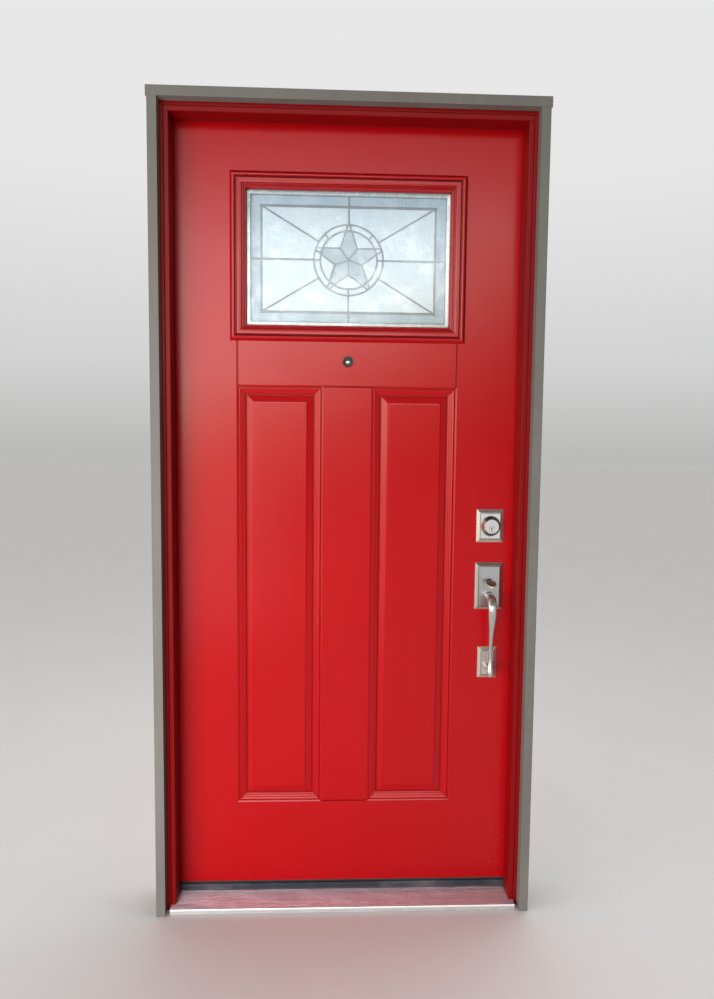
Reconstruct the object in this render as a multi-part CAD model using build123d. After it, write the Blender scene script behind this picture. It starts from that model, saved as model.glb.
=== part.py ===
from build123d import *
import math
import os

os.makedirs("parts", exist_ok=True)

# ----------------------------------------------------------------------------
# Prehung entrance door in its frame. Millimetres, +Z up, +X to the right seen
# from outside, +Y into the house. X = 0 is the middle of the doorway, Y = 0 the
# outside face of the door leaf, Z = 0 the underside of the sill.
# ----------------------------------------------------------------------------

# door leaf
slab_w, slab_h, slab_t = 908.0, 2013.0, 44.5
slab_z0 = 39.0                      # underside of the leaf above the sill base
slab_z1 = slab_z0 + slab_h
hw = slab_w / 2
gap = 3.2                           # gap round the leaf
skin_t = 0.8
stile_w = 30.0
top_rail_h, bottom_rail_h = 38.0, 40.0

# frame
rab_x = hw + gap                    # rabbet face of the side jambs
rab_z = slab_z1 + gap               # rabbet face of the head
stop_t = 12.7
stop_x = rab_x - stop_t
stop_z = rab_z - stop_t
board_t = 19.05
jamb_x = rab_x + board_t
jamb_z = rab_z + board_t
front_y, stop_y, back_y = -65.5, -8.0, slab_t
fixing_r = 2.5                      # fixing screw holes through the side jambs
fixing_z = (250.0, 1850.0)
fixing_y = -4.0

# sheet-metal surround
sheet_t = 0.8
trim_in_x, trim_out_x = 467.2, 490.5
trim_y = -91.5                      # back of the side trims' face
head_trim_x = 493.5
head_trim_z0, head_trim_z1 = 2065.2, 2089.5

# sill
sill_x = rab_x - 0.2
nose_y, nose_h = -86.0, 14.0
deck_z = 17.0
deck_t = 1.8
cap_y0, cap_y1, cap_top = -3.0, 36.2, 31.0

# raised panels and scribe lines (one profile, s from the outer edge inwards)
panel_x0, panel_x1 = 62.5, 289.0
panel_z0, panel_z1 = 262.0, 1389.0
panel_prof = [(0.0, 0.0), (0.5, 0.4), (4.2, 1.7), (5.0, 2.4), (5.8, 2.4), (7.6, 1.0), (9.0, 1.0),
              (12.7, 2.35), (14.2, 2.45), (14.8, 3.1), (18.2, 4.35), (19.7, 4.45), (20.3, 5.1), (23.4, 6.3),
              (24.8, 7.9), (26.2, 7.9), (27.4, 6.9), (42.6, 2.7), (43.8, 1.4), (46.0, 1.2)]
field_d = 1.2
scribe_w, scribe_d = 5.0, 1.8

# lite (window) in the top of the leaf
lite_z = 1714.5
lite_hx, lite_hz = 305.0, 213.0     # outer half size of the lite frame
cut_hx, cut_hz = 284.0, 192.0       # cut-out in the leaf
glass_hx, glass_hz = 268.0, 175.5   # half size of every pane
pane_t = 3.0
pane_y = 9.5                        # outside face of the outer pane
came_y0, came_y1 = 20.25, 24.25     # thickness of the leaded panel
spacer_hx, spacer_hz = 254.5, 162.0
edge_hx, edge_hz = 252.5, 160.0     # inner edge of the panel's border came
rect_hx, rect_hz = 226.0, 134.5     # inner came rectangle
ring_ro, ring_ri, came_w = 90.0, 74.0, 4.6
star_r, star_ri = 98.0, 37.4

# hinges
pin_x, pin_y = -(hw + gap / 2), slab_t + 7.0
hinge_zs = (368.8, 1096.0, 1823.2)
leaf_h, leaf_t, leaf_y0, leaf_corner = 101.6, 2.8, 6.3, 15.9
knuckle_r, pin_r, pin_clear = 6.5, 3.8, 0.05

# hardware
lock_x = hw - 69.85                 # 69.85 mm backset
bolt_z = 1016.0                     # deadbolt axis
latch_z = bolt_z - 139.7            # latch axis
mid_y = slab_t / 2
bore_r, edge_bore_r = 27.0, 12.7
bolt_r, bolt_throw = 8.0, 25.4
latch_hw, latch_hh, latch_throw = 5.7, 8.5, 12.7
face_hw, face_hh, face_t = 12.7, 28.6, 2.5
peep_z, peep_r = 1451.0, 7.0


# ------------------------------------------------------------------ helpers
def box(x0, x1, y0, y1, z0, z1):
    return Pos((x0 + x1) / 2, (y0 + y1) / 2, (z0 + z1) / 2) * Box(abs(x1 - x0), abs(y1 - y0), abs(z1 - z0))


def prism(pts, axis, lo, hi):
    """Extrude a closed outline. axis x: pts are (y, z); y: (x, z); z: (x, y)."""
    if axis == "x":
        p3, d = [(lo, a, b) for a, b in pts], (1, 0, 0)
    elif axis == "y":
        p3, d = [(a, lo, b) for a, b in pts], (0, 1, 0)
    else:
        p3, d = [(a, b, lo) for a, b in pts], (0, 0, 1)
    return extrude(make_face(Polyline(*p3, close=True)), amount=hi - lo, dir=d)


def cyl(axis, a, b, r, lo, hi):
    """Cylinder. axis x: (a, b) = (y, z); y: (x, z); z: (x, y)."""
    c = Cylinder(r, hi - lo)
    m = (lo + hi) / 2
    if axis == "x":
        return Pos(m, a, b) * Rot(0, 90, 0) * c
    if axis == "y":
        return Pos(a, m, b) * Rot(90, 0, 0) * c
    return Pos(a, b, m) * c


def cone_y(x, z, r0, y0, r1, y1):
    """Cone frustum along Y from radius r0 at y0 to r1 at y1 (y1 > y0)."""
    return Pos(x, (y0 + y1) / 2, z) * Rot(-90, 0, 0) * Cone(r0, r1, y1 - y0)


def cone_x(y, z, r0, x0, r1, x1):
    return Pos((x0 + x1) / 2, y, z) * Rot(0, 90, 0) * Cone(r0, r1, x1 - x0)


def ring(cx, cz, hx, hz, prof, reach):
    """Mitred rectangular frame. prof is a closed outline of (s, y), s inwards."""
    ys = [p[1] for p in prof]
    y0, y1 = min(ys) - 1, max(ys) + 1
    out = None
    for side in "lrtb":
        if side == "l":
            b = prism([(cx - hx + s, y) for s, y in prof], "z", cz - hz, cz + hz)
            m = [(cx - hx, cz - hz), (cx - hx, cz + hz), (cx - hx + reach, cz + hz - reach), (cx - hx + reach, cz - hz + reach)]
        elif side == "r":
            b = prism([(cx + hx - s, y) for s, y in prof], "z", cz - hz, cz + hz)
            m = [(cx + hx, cz - hz), (cx + hx, cz + hz), (cx + hx - reach, cz + hz - reach), (cx + hx - reach, cz - hz + reach)]
        elif side == "t":
            b = prism([(y, cz + hz - s) for s, y in prof], "x", cx - hx, cx + hx)
            m = [(cx - hx, cz + hz), (cx + hx, cz + hz), (cx + hx - reach, cz + hz - reach), (cx - hx + reach, cz + hz - reach)]
        else:
            b = prism([(y, cz - hz + s) for s, y in prof], "x", cx - hx, cx + hx)
            m = [(cx - hx, cz - hz), (cx + hx, cz - hz), (cx + hx - reach, cz - hz + reach), (cx - hx + reach, cz - hz + reach)]
        piece = b & prism(m, "y", y0, y1)
        out = piece if out is None else out + piece
    return out


def flip(part):
    """Mirror front to back about the middle of the leaf's thickness."""
    return mirror(part, about=Plane(origin=(0, slab_t / 2, 0), z_dir=(0, 1, 0)))


def joined(parts):
    """Several separate solids in one node."""
    solids = []
    for p in parts:
        solids += list(p.solids())
    return Compound(children=solids)


def save(part, name):
    export_step(part, f"parts/{name}.step")


def loft_along(path, widths):
    """Smooth bar through (y, z) points in the X = x0 plane with elliptical sections (half x, half depth)."""
    secs = []
    n = len(path)
    for i, (x, y, z) in enumerate(path):
        a = path[max(i - 1, 0)]
        b = path[min(i + 1, n - 1)]
        t = Vector(b[0] - a[0], b[1] - a[1], b[2] - a[2]).normalized()
        xd = Vector(1, 0, 0) if abs(t.X) < 0.7 else Vector(0, 0, 1)
        xd = (xd - t * xd.dot(t)).normalized()
        secs.append(Plane(origin=(x, y, z), x_dir=xd, z_dir=t) * Ellipse(*widths[i]))
    return loft(secs)


def screw_x(x_head, y, z, sign, head_r, shank_r, length):
    """Flat-head screw along X: the head's face at x_head, pointing to sign."""
    h = head_r - shank_r
    if sign > 0:
        s = cone_x(y, z, head_r, x_head, shank_r, x_head + h) + cyl("x", y, z, shank_r, x_head + h, x_head + length)
    else:
        s = cone_x(y, z, shank_r, x_head - h, head_r, x_head) + cyl("x", y, z, shank_r, x_head - length, x_head - h)
    a, b = (x_head - 0.01, x_head + 0.9) if sign > 0 else (x_head - 0.9, x_head + 0.01)
    return s - box(a, b, y - 0.55, y + 0.55, z - 2.1, z + 2.1) - box(a, b, y - 2.1, y + 2.1, z - 0.55, z + 0.55)


def screw_hole_x(x_face, y, z, sign, head_r, shank_r, length, c=0.06):
    h = head_r - shank_r
    if sign > 0:
        return cone_x(y, z, head_r + c, x_face - 0.001, shank_r + c, x_face + h) + cyl("x", y, z, shank_r + c, x_face + h - 0.01, x_face + length + 0.5)
    return cone_x(y, z, shank_r + c, x_face - h, head_r + c, x_face + 0.001) + cyl("x", y, z, shank_r + c, x_face - length - 0.5, x_face - h + 0.01)


# ---------------------------------------------------------------- side jambs
def jamb_outline(sgn):
    q = 1.3                                                   # quirk between stop and board on the front edge
    pts = [(stop_x + 1.6, front_y), (rab_x - q, front_y), (rab_x - 0.3, front_y + 2.2), (rab_x + 0.3, front_y + 2.2),
           (rab_x + q, front_y), (jamb_x - 1.0, front_y), (jamb_x, front_y + 1.0), (jamb_x, back_y),
           (rab_x + 1.0, back_y), (rab_x, back_y - 1.0), (rab_x, stop_y),
           (rab_x - 1.4, stop_y), (rab_x - 1.4, stop_y - 10.5), (rab_x - 4.6, stop_y - 10.5), (rab_x - 4.6, stop_y),
           (stop_x + 0.8, stop_y), (stop_x, stop_y - 0.8), (stop_x, front_y + 1.6)]
    return [(sgn * x, y) for x, y in pts]


def deck_top(y):
    """Height of the sloping deck at y."""
    return nose_h + (deck_z - nose_h) * (y + 84.8) / 79.8


def side_jamb(sgn):
    j = prism(jamb_outline(sgn), "z", 0, jamb_z)
    lo, hi = sorted((sgn * (stop_x - 5), sgn * rab_x))
    # the stop stands on the sloping deck, and the head's stop runs over it
    j = j - prism([(front_y - 2, -1), (front_y - 2, deck_top(front_y - 2) + 0.1), (stop_y + 2, deck_top(stop_y + 2) + 0.1), (stop_y + 2, -1)], "x", lo, hi)
    j = j - box(lo, hi, front_y - 2, stop_y + 2, stop_z, jamb_z + 1)
    for z in fixing_z:
        j = j - cyl("x", fixing_y, z, fixing_r, min(sgn * rab_x, sgn * jamb_x) - 1, max(sgn * rab_x, sgn * jamb_x) + 1)
    return j


def hinge_leaf_blank(x0, x1, zc, grow=0.0):
    """Rectangular leaf from its outer end to the barrel, outer corners rounded."""
    b = box(x0, x1, leaf_y0 - grow, pin_y, zc - leaf_h / 2 - grow, zc + leaf_h / 2 + grow)
    es = [e for e in b.edges().filter_by(Axis.X) if e.center().Y < leaf_y0 + 1]
    return fillet(es, leaf_corner)


hinge_holes = [(13.5, 38.0), (31.0, 15.0), (31.0, -15.0), (13.5, -38.0)]
h_head, h_shank = 4.4, 2.2

jamb_leaves, door_leaves, pins, jamb_screws, door_screws = [], [], [], [], []
jamb_mortise, door_mortise, jamb_hole_cut, door_hole_cut = [], [], [], []
seg = leaf_h / 5
for zc in hinge_zs:
    jx0, jx1 = -rab_x - leaf_t, -rab_x
    dx0, dx1 = -hw, -hw + leaf_t
    jl = hinge_leaf_blank(jx0, jx1, zc)
    dl = hinge_leaf_blank(dx0, dx1, zc)
    for i in range(5):
        z0 = zc - leaf_h / 2 + i * seg
        z1 = z0 + seg
        if i % 2 == 0:                                        # knuckle of the frame leaf
            jl = jl + cyl("z", pin_x, pin_y, knuckle_r, z0, z1)
            dl = dl - cyl("z", pin_x, pin_y, knuckle_r + 0.6, z0 - (0.2 if i else 1), z1 + (0.2 if i < 4 else 1))
        else:
            jl = jl - cyl("z", pin_x, pin_y, knuckle_r + 0.6, z0, z1)
    for i in (1, 3):
        z0 = zc - leaf_h / 2 + i * seg + 0.2
        dl = dl + cyl("z", pin_x, pin_y, knuckle_r, z0, z0 + seg - 0.4)
    bore = cyl("z", pin_x, pin_y, pin_r + pin_clear, zc - 60, zc + 60)
    jl, dl = jl - bore, dl - bore
    for hy, hz in hinge_holes:
        jh = screw_hole_x(-rab_x, hy, zc + hz, -1, h_head, h_shank, 16.5)
        dh = screw_hole_x(-hw, hy, zc + hz, 1, h_head, h_shank, 25.0)
        jl, dl = jl - jh, dl - dh
        jamb_hole_cut.append(jh)
        door_hole_cut.append(dh)
        jamb_screws.append(screw_x(-rab_x - 0.05, hy, zc + hz, -1, h_head, h_shank, 16.5))
        door_screws.append(screw_x(-hw + 0.05, hy, zc + hz, 1, h_head, h_shank, 25.0))
    jamb_leaves.append(jl)
    door_leaves.append(dl)
    pin = cyl("z", pin_x, pin_y, pin_r, zc - leaf_h / 2 - 2.0, zc + leaf_h / 2)
    head = fillet(cyl("z", pin_x, pin_y, 5.8, zc + leaf_h / 2, zc + leaf_h / 2 + 3.4).edges().sort_by(Axis.Z)[-1], 2.2)
    tip = fillet(cyl("z", pin_x, pin_y, 5.4, zc - leaf_h / 2 - 4.0, zc - leaf_h / 2 - 0.3).edges().sort_by(Axis.Z)[0], 2.0)
    pins.append(pin + head + tip)
    jamb_mortise.append(hinge_leaf_blank(jx0 - 0.02, jx1 + 1, zc, 0.05))
    door_mortise.append(hinge_leaf_blank(dx0 - 1, dx1 + 0.02, zc, 0.05))

hinge_jamb = side_jamb(-1)
for c in jamb_mortise + jamb_hole_cut:
    hinge_jamb = hinge_jamb - c
save(hinge_jamb, "hinge_jamb")
save(joined(jamb_leaves), "jamb_hinge_leaves")
save(joined(pins), "hinge_pins")
save(joined(jamb_screws), "jamb_hinge_screws")
save(joined(door_leaves), "door_hinge_leaves")
save(joined(door_screws), "door_hinge_screws")

# ------------------------------------------------------- strikes, strike jamb
strike_t = 1.6
strike_jamb = side_jamb(1)


def strike(zc, y0, y1, hole, lip):
    s = box(rab_x, rab_x + strike_t, y0, y1, zc - 28.6, zc + 28.6)
    s = fillet([e for e in s.edges().filter_by(Axis.X)], 4.0) if not lip else s
    if lip:                                                   # rounded tongue that leads the latch in
        s = s + box(rab_x, rab_x + strike_t, y1 - 6, y1 + 3.2, zc - 15, zc + 15)
        tongue = [e for e in s.edges().filter_by(Axis.X) if abs(e.center().Y - (y1 + 3.2)) < 0.01]
        s = fillet(tongue, 3.0)
    return s - hole


latch_hole = box(rab_x - 5, rab_x + 30, mid_y - 7.2, mid_y + 7.2, latch_z - 10.2, latch_z + 10.2)
bolt_hole = cyl("x", mid_y, bolt_z, 9.2, rab_x - 5, jamb_x + 5)
latch_strike = strike(latch_z, 8.0, 42.0, latch_hole, True)
bolt_strike = strike(bolt_z, 9.5, 35.0, bolt_hole, False)
strike_mortise = [box(rab_x - 1, rab_x + strike_t + 0.02, 7.95, 42.05, latch_z - 28.65, latch_z + 28.65),
                  box(rab_x - 1, rab_x + strike_t + 0.02, 42.0, 50.0, latch_z - 15.05, latch_z + 15.05),
                  box(rab_x - 1, rab_x + strike_t + 0.02, 9.45, 35.05, bolt_z - 28.65, bolt_z + 28.65),
                  box(rab_x - 1, rab_x + 14.5, mid_y - 7.7, mid_y + 7.7, latch_z - 10.7, latch_z + 10.7),
                  cyl("x", mid_y, bolt_z, 9.6, rab_x - 1, jamb_x + 1)]
s_head, s_shank, s_len = 3.9, 2.0, 16.0
strike_screws = []
for zc in (latch_z, bolt_z):
    for dz in (-21.5, 21.5):
        h = screw_hole_x(rab_x, mid_y, zc + dz, 1, s_head, s_shank, s_len)
        latch_strike, bolt_strike, strike_jamb = latch_strike - h, bolt_strike - h, strike_jamb - h
        strike_screws.append(screw_x(rab_x + 0.05, mid_y, zc + dz, 1, s_head, s_shank, s_len))
for c in strike_mortise:
    strike_jamb = strike_jamb - c
save(strike_jamb, "strike_jamb")
save(latch_strike, "latch_strike")
save(bolt_strike, "deadbolt_strike")
save(joined(strike_screws), "strike_screws")

# ----------------------------------------------------------------- head jamb
head_pts = [(y, z - rab_x + rab_z) for z, y in jamb_outline(1)]
head_jamb = prism(head_pts, "x", -rab_x, rab_x)
save(head_jamb, "head_jamb")


# -------------------------------------------------------------- weatherstrip
def seal_outline(sgn):
    """Kerf barb and foam bulb, in (x, y), against the back of the stop."""
    pts = [(rab_x - 2.2, stop_y - 8.5), (rab_x - 1.9, stop_y), (rab_x - 0.7, stop_y), (rab_x - 0.7, stop_y + 2.6),
           (rab_x - 2.0, -1.6), (rab_x - 4.6, -0.5), (rab_x - 7.2, -0.5), (rab_x - 9.8, -1.6), (rab_x - 11.0, -3.6),
           (rab_x - 10.8, stop_y + 1.4), (rab_x - 9.2, stop_y), (rab_x - 4.1, stop_y), (rab_x - 3.8, stop_y - 8.5)]
    return [(sgn * x, y) for x, y in pts]


seal_z0 = cap_top + 0.3
save(prism(seal_outline(-1), "z", seal_z0, stop_z), "weatherstrip_hinge_side")
save(prism(seal_outline(1), "z", seal_z0, stop_z), "weatherstrip_lock_side")
save(prism([(y, x - rab_x + rab_z) for x, y in seal_outline(1)], "x", -rab_x + 0.2, rab_x - 0.2), "weatherstrip_head")

pads = []
for sgn in (-1, 1):
    x0, x1 = sorted((sgn * (rab_x - 1.4), sgn * rab_x))
    pads.append(fillet(box(x0, x1, 0.3, 18.0, cap_top + 0.2, cap_top + 52.0).edges().filter_by(Axis.X), 4.0))
save(joined(pads), "corner_seal_pads")

# ---------------------------------------------------------------------- sill
top_pts = [(-84.8, nose_h)]
y = -82.0
while y < -9.0:                                               # fine ribs along the deck
    top_pts += [(y, deck_top(y)), (y + 0.25, deck_top(y) - 0.6), (y + 1.75, deck_top(y) - 0.6), (y + 2.0, deck_top(y + 2.0))]
    y += 4.4
deck_pts = [(nose_y, 0.0), (nose_y, 8.4), (nose_y + 0.7, 8.9), (nose_y + 0.7, 9.9), (nose_y, 10.4), (nose_y, 12.6),
            (nose_y + 0.4, 13.6)] + top_pts + [(-5.0, deck_z), (cap_y1 + 0.2, deck_z), (cap_y1 + 0.2, 24.0), (cap_y1 + 2.0, 24.0),
            (cap_y1 + 2.0, deck_z - deck_t), (-5.0, deck_z - deck_t), (nose_y + deck_t, nose_h - deck_t), (nose_y + deck_t, 0.0)]
sill_deck = prism(deck_pts, "x", -sill_x, sill_x)
base_pts = [(nose_y + deck_t, 0.0), (nose_y + deck_t, nose_h - deck_t), (-5.0, deck_z - deck_t), (cap_y1 + 2.0, deck_z - deck_t),
            (cap_y1 + 2.0, 24.0), (back_y - 1.0, 24.0), (back_y, 23.0), (back_y, 0.0)]
sill_base = prism(base_pts, "x", -sill_x, sill_x)
cap_pts = [(cap_y0, deck_z), (cap_y0, 22.4), (cap_y0 + 0.8, 22.9), (cap_y0 + 0.8, 23.5), (cap_y0, 24.0), (cap_y0, cap_top - 1.8), (cap_y0 + 1.8, cap_top), (cap_y1 - 2.4, cap_top), (cap_y1, cap_top - 2.4), (cap_y1, deck_z)]
sill_cap = prism(cap_pts, "x", -sill_x, sill_x)
cap_screws = []
for x in (-360.0, -120.0, 120.0, 360.0):
    sill_cap = sill_cap - cyl("z", x, 16.5, 5.4, cap_top - 3.4, cap_top + 1) - cyl("z", x, 16.5, 2.75, 0, cap_top)
    for_cut = cyl("z", x, 16.5, 2.75, 6.0, cap_top)
    sill_deck, sill_base = sill_deck - for_cut, sill_base - for_cut
    s = cyl("z", x, 16.5, 5.1, cap_top - 3.4, cap_top - 0.4) + cyl("z", x, 16.5, 2.6, 7.0, cap_top - 3.4)
    s = s - box(x - 0.6, x + 0.6, 13.4, 19.6, cap_top - 1.6, cap_top) - box(x - 3.1, x + 3.1, 15.9, 17.1, cap_top - 1.6, cap_top)
    cap_screws.append(s)
save(sill_deck, "sill_deck")
save(sill_base, "sill_substrate")
save(sill_cap, "sill_cap")
save(joined(cap_screws), "sill_cap_screws")

# -------------------------------------------------------- sheet-metal surround
t = sheet_t


def side_trim(sgn):
    pts = [(trim_in_x, front_y), (trim_in_x, trim_y - t), (trim_out_x, trim_y - t), (trim_out_x, trim_y + 7.5), (trim_out_x - t, trim_y + 7.5),
           (trim_out_x - t, trim_y), (trim_in_x + t, trim_y), (trim_in_x + t, front_y - t), (trim_out_x - 4, front_y - t), (trim_out_x - 4, front_y)]
    return prism([(sgn * x, y) for x, y in pts], "z", 0, head_trim_z1 - 4)


save(side_trim(-1), "side_trim_left")
save(side_trim(1), "side_trim_right")
web_x = trim_in_x - 0.05
face_y = trim_y - t
ht = box(-head_trim_x, head_trim_x, face_y - t, face_y, head_trim_z0, head_trim_z1)
ht = ht + box(-web_x, web_x, face_y - t, front_y, head_trim_z0, head_trim_z0 + t)
ht = ht + box(-web_x, web_x, front_y - t, front_y, head_trim_z0, head_trim_z1 - 6)
ht = ht + box(-head_trim_x, head_trim_x, face_y - t, trim_y + 7.5, head_trim_z1 - t, head_trim_z1)
for sgn in (-1, 1):                                           # folded ends
    x0, x1 = sorted((sgn * (head_trim_x - t), sgn * head_trim_x))
    ht = ht + box(x0, x1, face_y - t, trim_y + 7.5, head_trim_z0, head_trim_z1)
save(ht, "head_trim")

# ------------------------------------------------------------ embossed skins
pw, pz = (panel_x1 - panel_x0) / 2, (panel_z0 + panel_z1) / 2
pcx = (panel_x0 + panel_x1) / 2
phz = (panel_z1 - panel_z0) / 2
prof = panel_prof + [(46.0, -0.5), (0.0, -0.5)]
emboss = None
for cx in (-pcx, pcx):
    r = ring(cx, pz, pw, phz, [(s, d) for s, d in prof], 46.0)
    f = box(cx - pw + 46.0, cx + pw - 46.0, -0.5, field_d, panel_z0 + 46.0, panel_z1 - 46.0)
    emboss = r + f if emboss is None else emboss + r + f
v = scribe_w / 2
for z in (panel_z0 + v, panel_z1 - v):                        # level scribe lines between the panels
    emboss = emboss + prism([(-0.5, z - v - 0.6), (0, z - v), (scribe_d, z - 0.5), (scribe_d, z + 0.5), (0, z + v), (-0.5, z + v + 0.6)], "x", -panel_x0 - 0.5, panel_x0 + 0.5)
for x in (-panel_x1 + v, panel_x1 - v):                       # upright scribe lines up to the lite
    emboss = emboss + prism([(x - v - 0.6, -0.5), (x - v, 0), (x - 0.5, scribe_d), (x + 0.5, scribe_d), (x + v, 0), (x + v + 0.6, -0.5)], "z", panel_z1 - 1.0, lite_z - cut_hz)
emboss_back = Pos(0, skin_t, 0) * emboss

lite_cut = box(-cut_hx, cut_hx, -20, slab_t + 20, lite_z - cut_hz, lite_z + cut_hz)
bores = [cyl("y", lock_x, bolt_z, bore_r, -20, slab_t + 20), cyl("y", lock_x, latch_z, bore_r, -20, slab_t + 20),
         cyl("y", 0, peep_z, peep_r + 0.15, -20, slab_t + 20), cyl("y", lock_x, 641.0, 3.3, -20, slab_t + 20)]
edge_bores = [cyl("x", mid_y, bolt_z, edge_bore_r, 350, hw + 1), cyl("x", mid_y, latch_z, edge_bore_r, 350, hw + 1)]
face_mortises = [box(hw - face_t, hw + 1, mid_y - face_hw - 0.05, mid_y + face_hw + 0.05, z - face_hh - 0.05, z + face_hh + 0.05) for z in (bolt_z, latch_z)]

skin = box(-hw, hw, 0, skin_t, slab_z0, slab_z1) + (emboss_back & box(-hw, hw, 0.5, 20, slab_z0, slab_z1)) - emboss
skin = skin - lite_cut
inner_skin = flip(skin)
core_cut = (emboss_back & box(-hw, hw, skin_t - 0.001, 20, slab_z0, slab_z1))
core_cut_in = flip(core_cut)
for b in bores:
    skin, inner_skin = skin - b, inner_skin - b
for m in door_mortise:
    inner_skin = inner_skin - m
save(skin, "skin_exterior")
save(inner_skin, "skin_interior")

y0, y1 = skin_t, slab_t - skin_t
hinge_stile = box(-hw, -hw + stile_w, y0, y1, slab_z0, slab_z1)
for c in door_mortise + door_hole_cut:
    hinge_stile = hinge_stile - c
save(hinge_stile, "hinge_stile")

block_x0, block_z0, block_z1 = 332.0, 590.0, 1080.0
block = box(block_x0, hw - stile_w + 0.01, y0, y1, block_z0, block_z1)
lock_stile = box(hw - stile_w, hw, y0, y1, slab_z0, slab_z1) + block
f_head, f_shank, f_len = 3.7, 1.9, 16.0
face_screws, face_cuts = [], []
for zc in (bolt_z, latch_z):
    for dz in (-21.5, 21.5):
        face_cuts.append(screw_hole_x(hw, mid_y, zc + dz, -1, f_head, f_shank, f_len))
        face_screws.append(screw_x(hw - 0.05, mid_y, zc + dz, -1, f_head, f_shank, f_len))
for c in bores + edge_bores + face_mortises + face_cuts:
    lock_stile = lock_stile - c
save(lock_stile, "lock_stile")
save(joined(face_screws), "faceplate_screws")

save(box(-hw + stile_w, hw - stile_w, y0, y1, slab_z1 - top_rail_h, slab_z1), "top_rail")
save(box(-hw + stile_w, hw - stile_w, y0, y1, slab_z0, slab_z0 + bottom_rail_h), "bottom_rail")
core = box(-hw + stile_w, hw - stile_w, y0, y1, slab_z0 + bottom_rail_h, slab_z1 - top_rail_h) - core_cut - core_cut_in - lite_cut
core = core - box(block_x0, hw, y0 - 1, y1 + 1, block_z0, block_z1) - cyl("y", 0, peep_z, peep_r + 0.15, -5, 60)
save(core, "foam_core")

# ---------------------------------------------------------------- lite frame
lip = lite_hx - 262.5
lf_prof = [(0.0, 0.0), (0.0, -2.2), (1.4, -3.4), (3.2, -5.8), (4.8, -8.0), (5.8, -9.0), (7.4, -9.6), (9.2, -9.8), (11.0, -9.6), (12.4, -9.0),
           (13.2, -8.2), (13.8, -5.8), (14.8, -5.2), (16.0, -5.4), (17.2, -6.8), (18.2, -7.4), (25.0, -7.3), (29.6, -6.7), (30.4, -4.9),
           (31.2, -4.2), (33.0, -3.9), (33.6, -4.4), (34.8, -4.6), (35.8, -4.3), (36.4, -2.6), (38.2, -1.9), (39.6, -1.9), (40.6, -1.4),
           (41.4, 0.6), (42.5, 5.0), (42.5, pane_y), (36.5, pane_y), (36.5, 20.0), (21.5, 20.0), (21.5, 0.0)]
lite_ext = ring(0, lite_z, lite_hx, lite_hz, lf_prof, lip)
lite_int = flip(lite_ext)
lite_screws = []
lite_pts = [(sx * 278.5, lite_z + dz) for sx in (-1, 1) for dz in (-120.0, 0.0, 120.0)] + [(dx, lite_z + sz * 186.5) for sz in (-1, 1) for dx in (-200.0, -70.0, 70.0, 200.0)]
for px, pzz in lite_pts:
    cut = cyl("y", px, pzz, 2.0, 8.0, slab_t + 2) + cyl("y", px, pzz, 3.9, slab_t + 6.2, slab_t + 14) + cyl("y", px, pzz, 2.0, 8.0, slab_t + 6.4)
    lite_ext, lite_int = lite_ext - cut, lite_int - cut
    s = cyl("y", px, pzz, 1.95, 9.0, slab_t + 4.0) + cone_y(px, pzz, 1.95, slab_t + 4.0, 1.96, slab_t + 4.1) + cyl("y", px, pzz, 1.95, slab_t + 4.0, slab_t + 6.2) + cyl("y", px, pzz, 3.6, slab_t + 6.2, slab_t + 7.4)
    s = s - box(px - 0.5, px + 0.5, slab_t + 6.8, slab_t + 8, pzz - 2.2, pzz + 2.2) - box(px - 2.2, px + 2.2, slab_t + 6.8, slab_t + 8, pzz - 0.5, pzz + 0.5)
    lite_screws.append(s)
save(lite_ext, "lite_frame_exterior")
save(lite_int, "lite_frame_interior")
save(joined(lite_screws), "lite_frame_screws")

# --------------------------------------------------------------- glass unit
gz0, gz1 = lite_z - glass_hz, lite_z + glass_hz
inner_y = slab_t - pane_y
save(fillet(box(-glass_hx, glass_hx, pane_y, pane_y + pane_t, gz0, gz1).edges().filter_by(Axis.Y), 1.0), "outer_pane")
save(fillet(box(-glass_hx, glass_hx, inner_y - pane_t, inner_y, gz0, gz1).edges().filter_by(Axis.Y), 1.0), "inner_pane")
spacers = []
for a, b in ((pane_y + pane_t, came_y0), (came_y1, inner_y - pane_t)):
    spacers.append(box(-glass_hx + 0.5, glass_hx - 0.5, a, b, gz0 + 0.5, gz1 - 0.5) - box(-spacer_hx, spacer_hx, a - 1, b + 1, lite_z - spacer_hz, lite_z + spacer_hz))
save(joined(spacers), "glass_spacers")


def strip(xa, za, xb, zb, w, y0=came_y0, y1=came_y1):
    """Straight came from (xa, za) to (xb, zb), relative to the panel's middle."""
    L = math.hypot(xb - xa, zb - za)
    nx, nz = -(zb - za) / L * w / 2, (xb - xa) / L * w / 2
    return prism([(xa + nx, lite_z + za + nz), (xb + nx, lite_z + zb + nz), (xb - nx, lite_z + zb - nz), (xa - nx, lite_z + za - nz)], "y", y0, y1)


def disc(r, y0=came_y0, y1=came_y1):
    return cyl("y", 0, lite_z, r, y0, y1)


def polar(r, deg):
    return r * math.cos(math.radians(deg)), r * math.sin(math.radians(deg))


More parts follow.
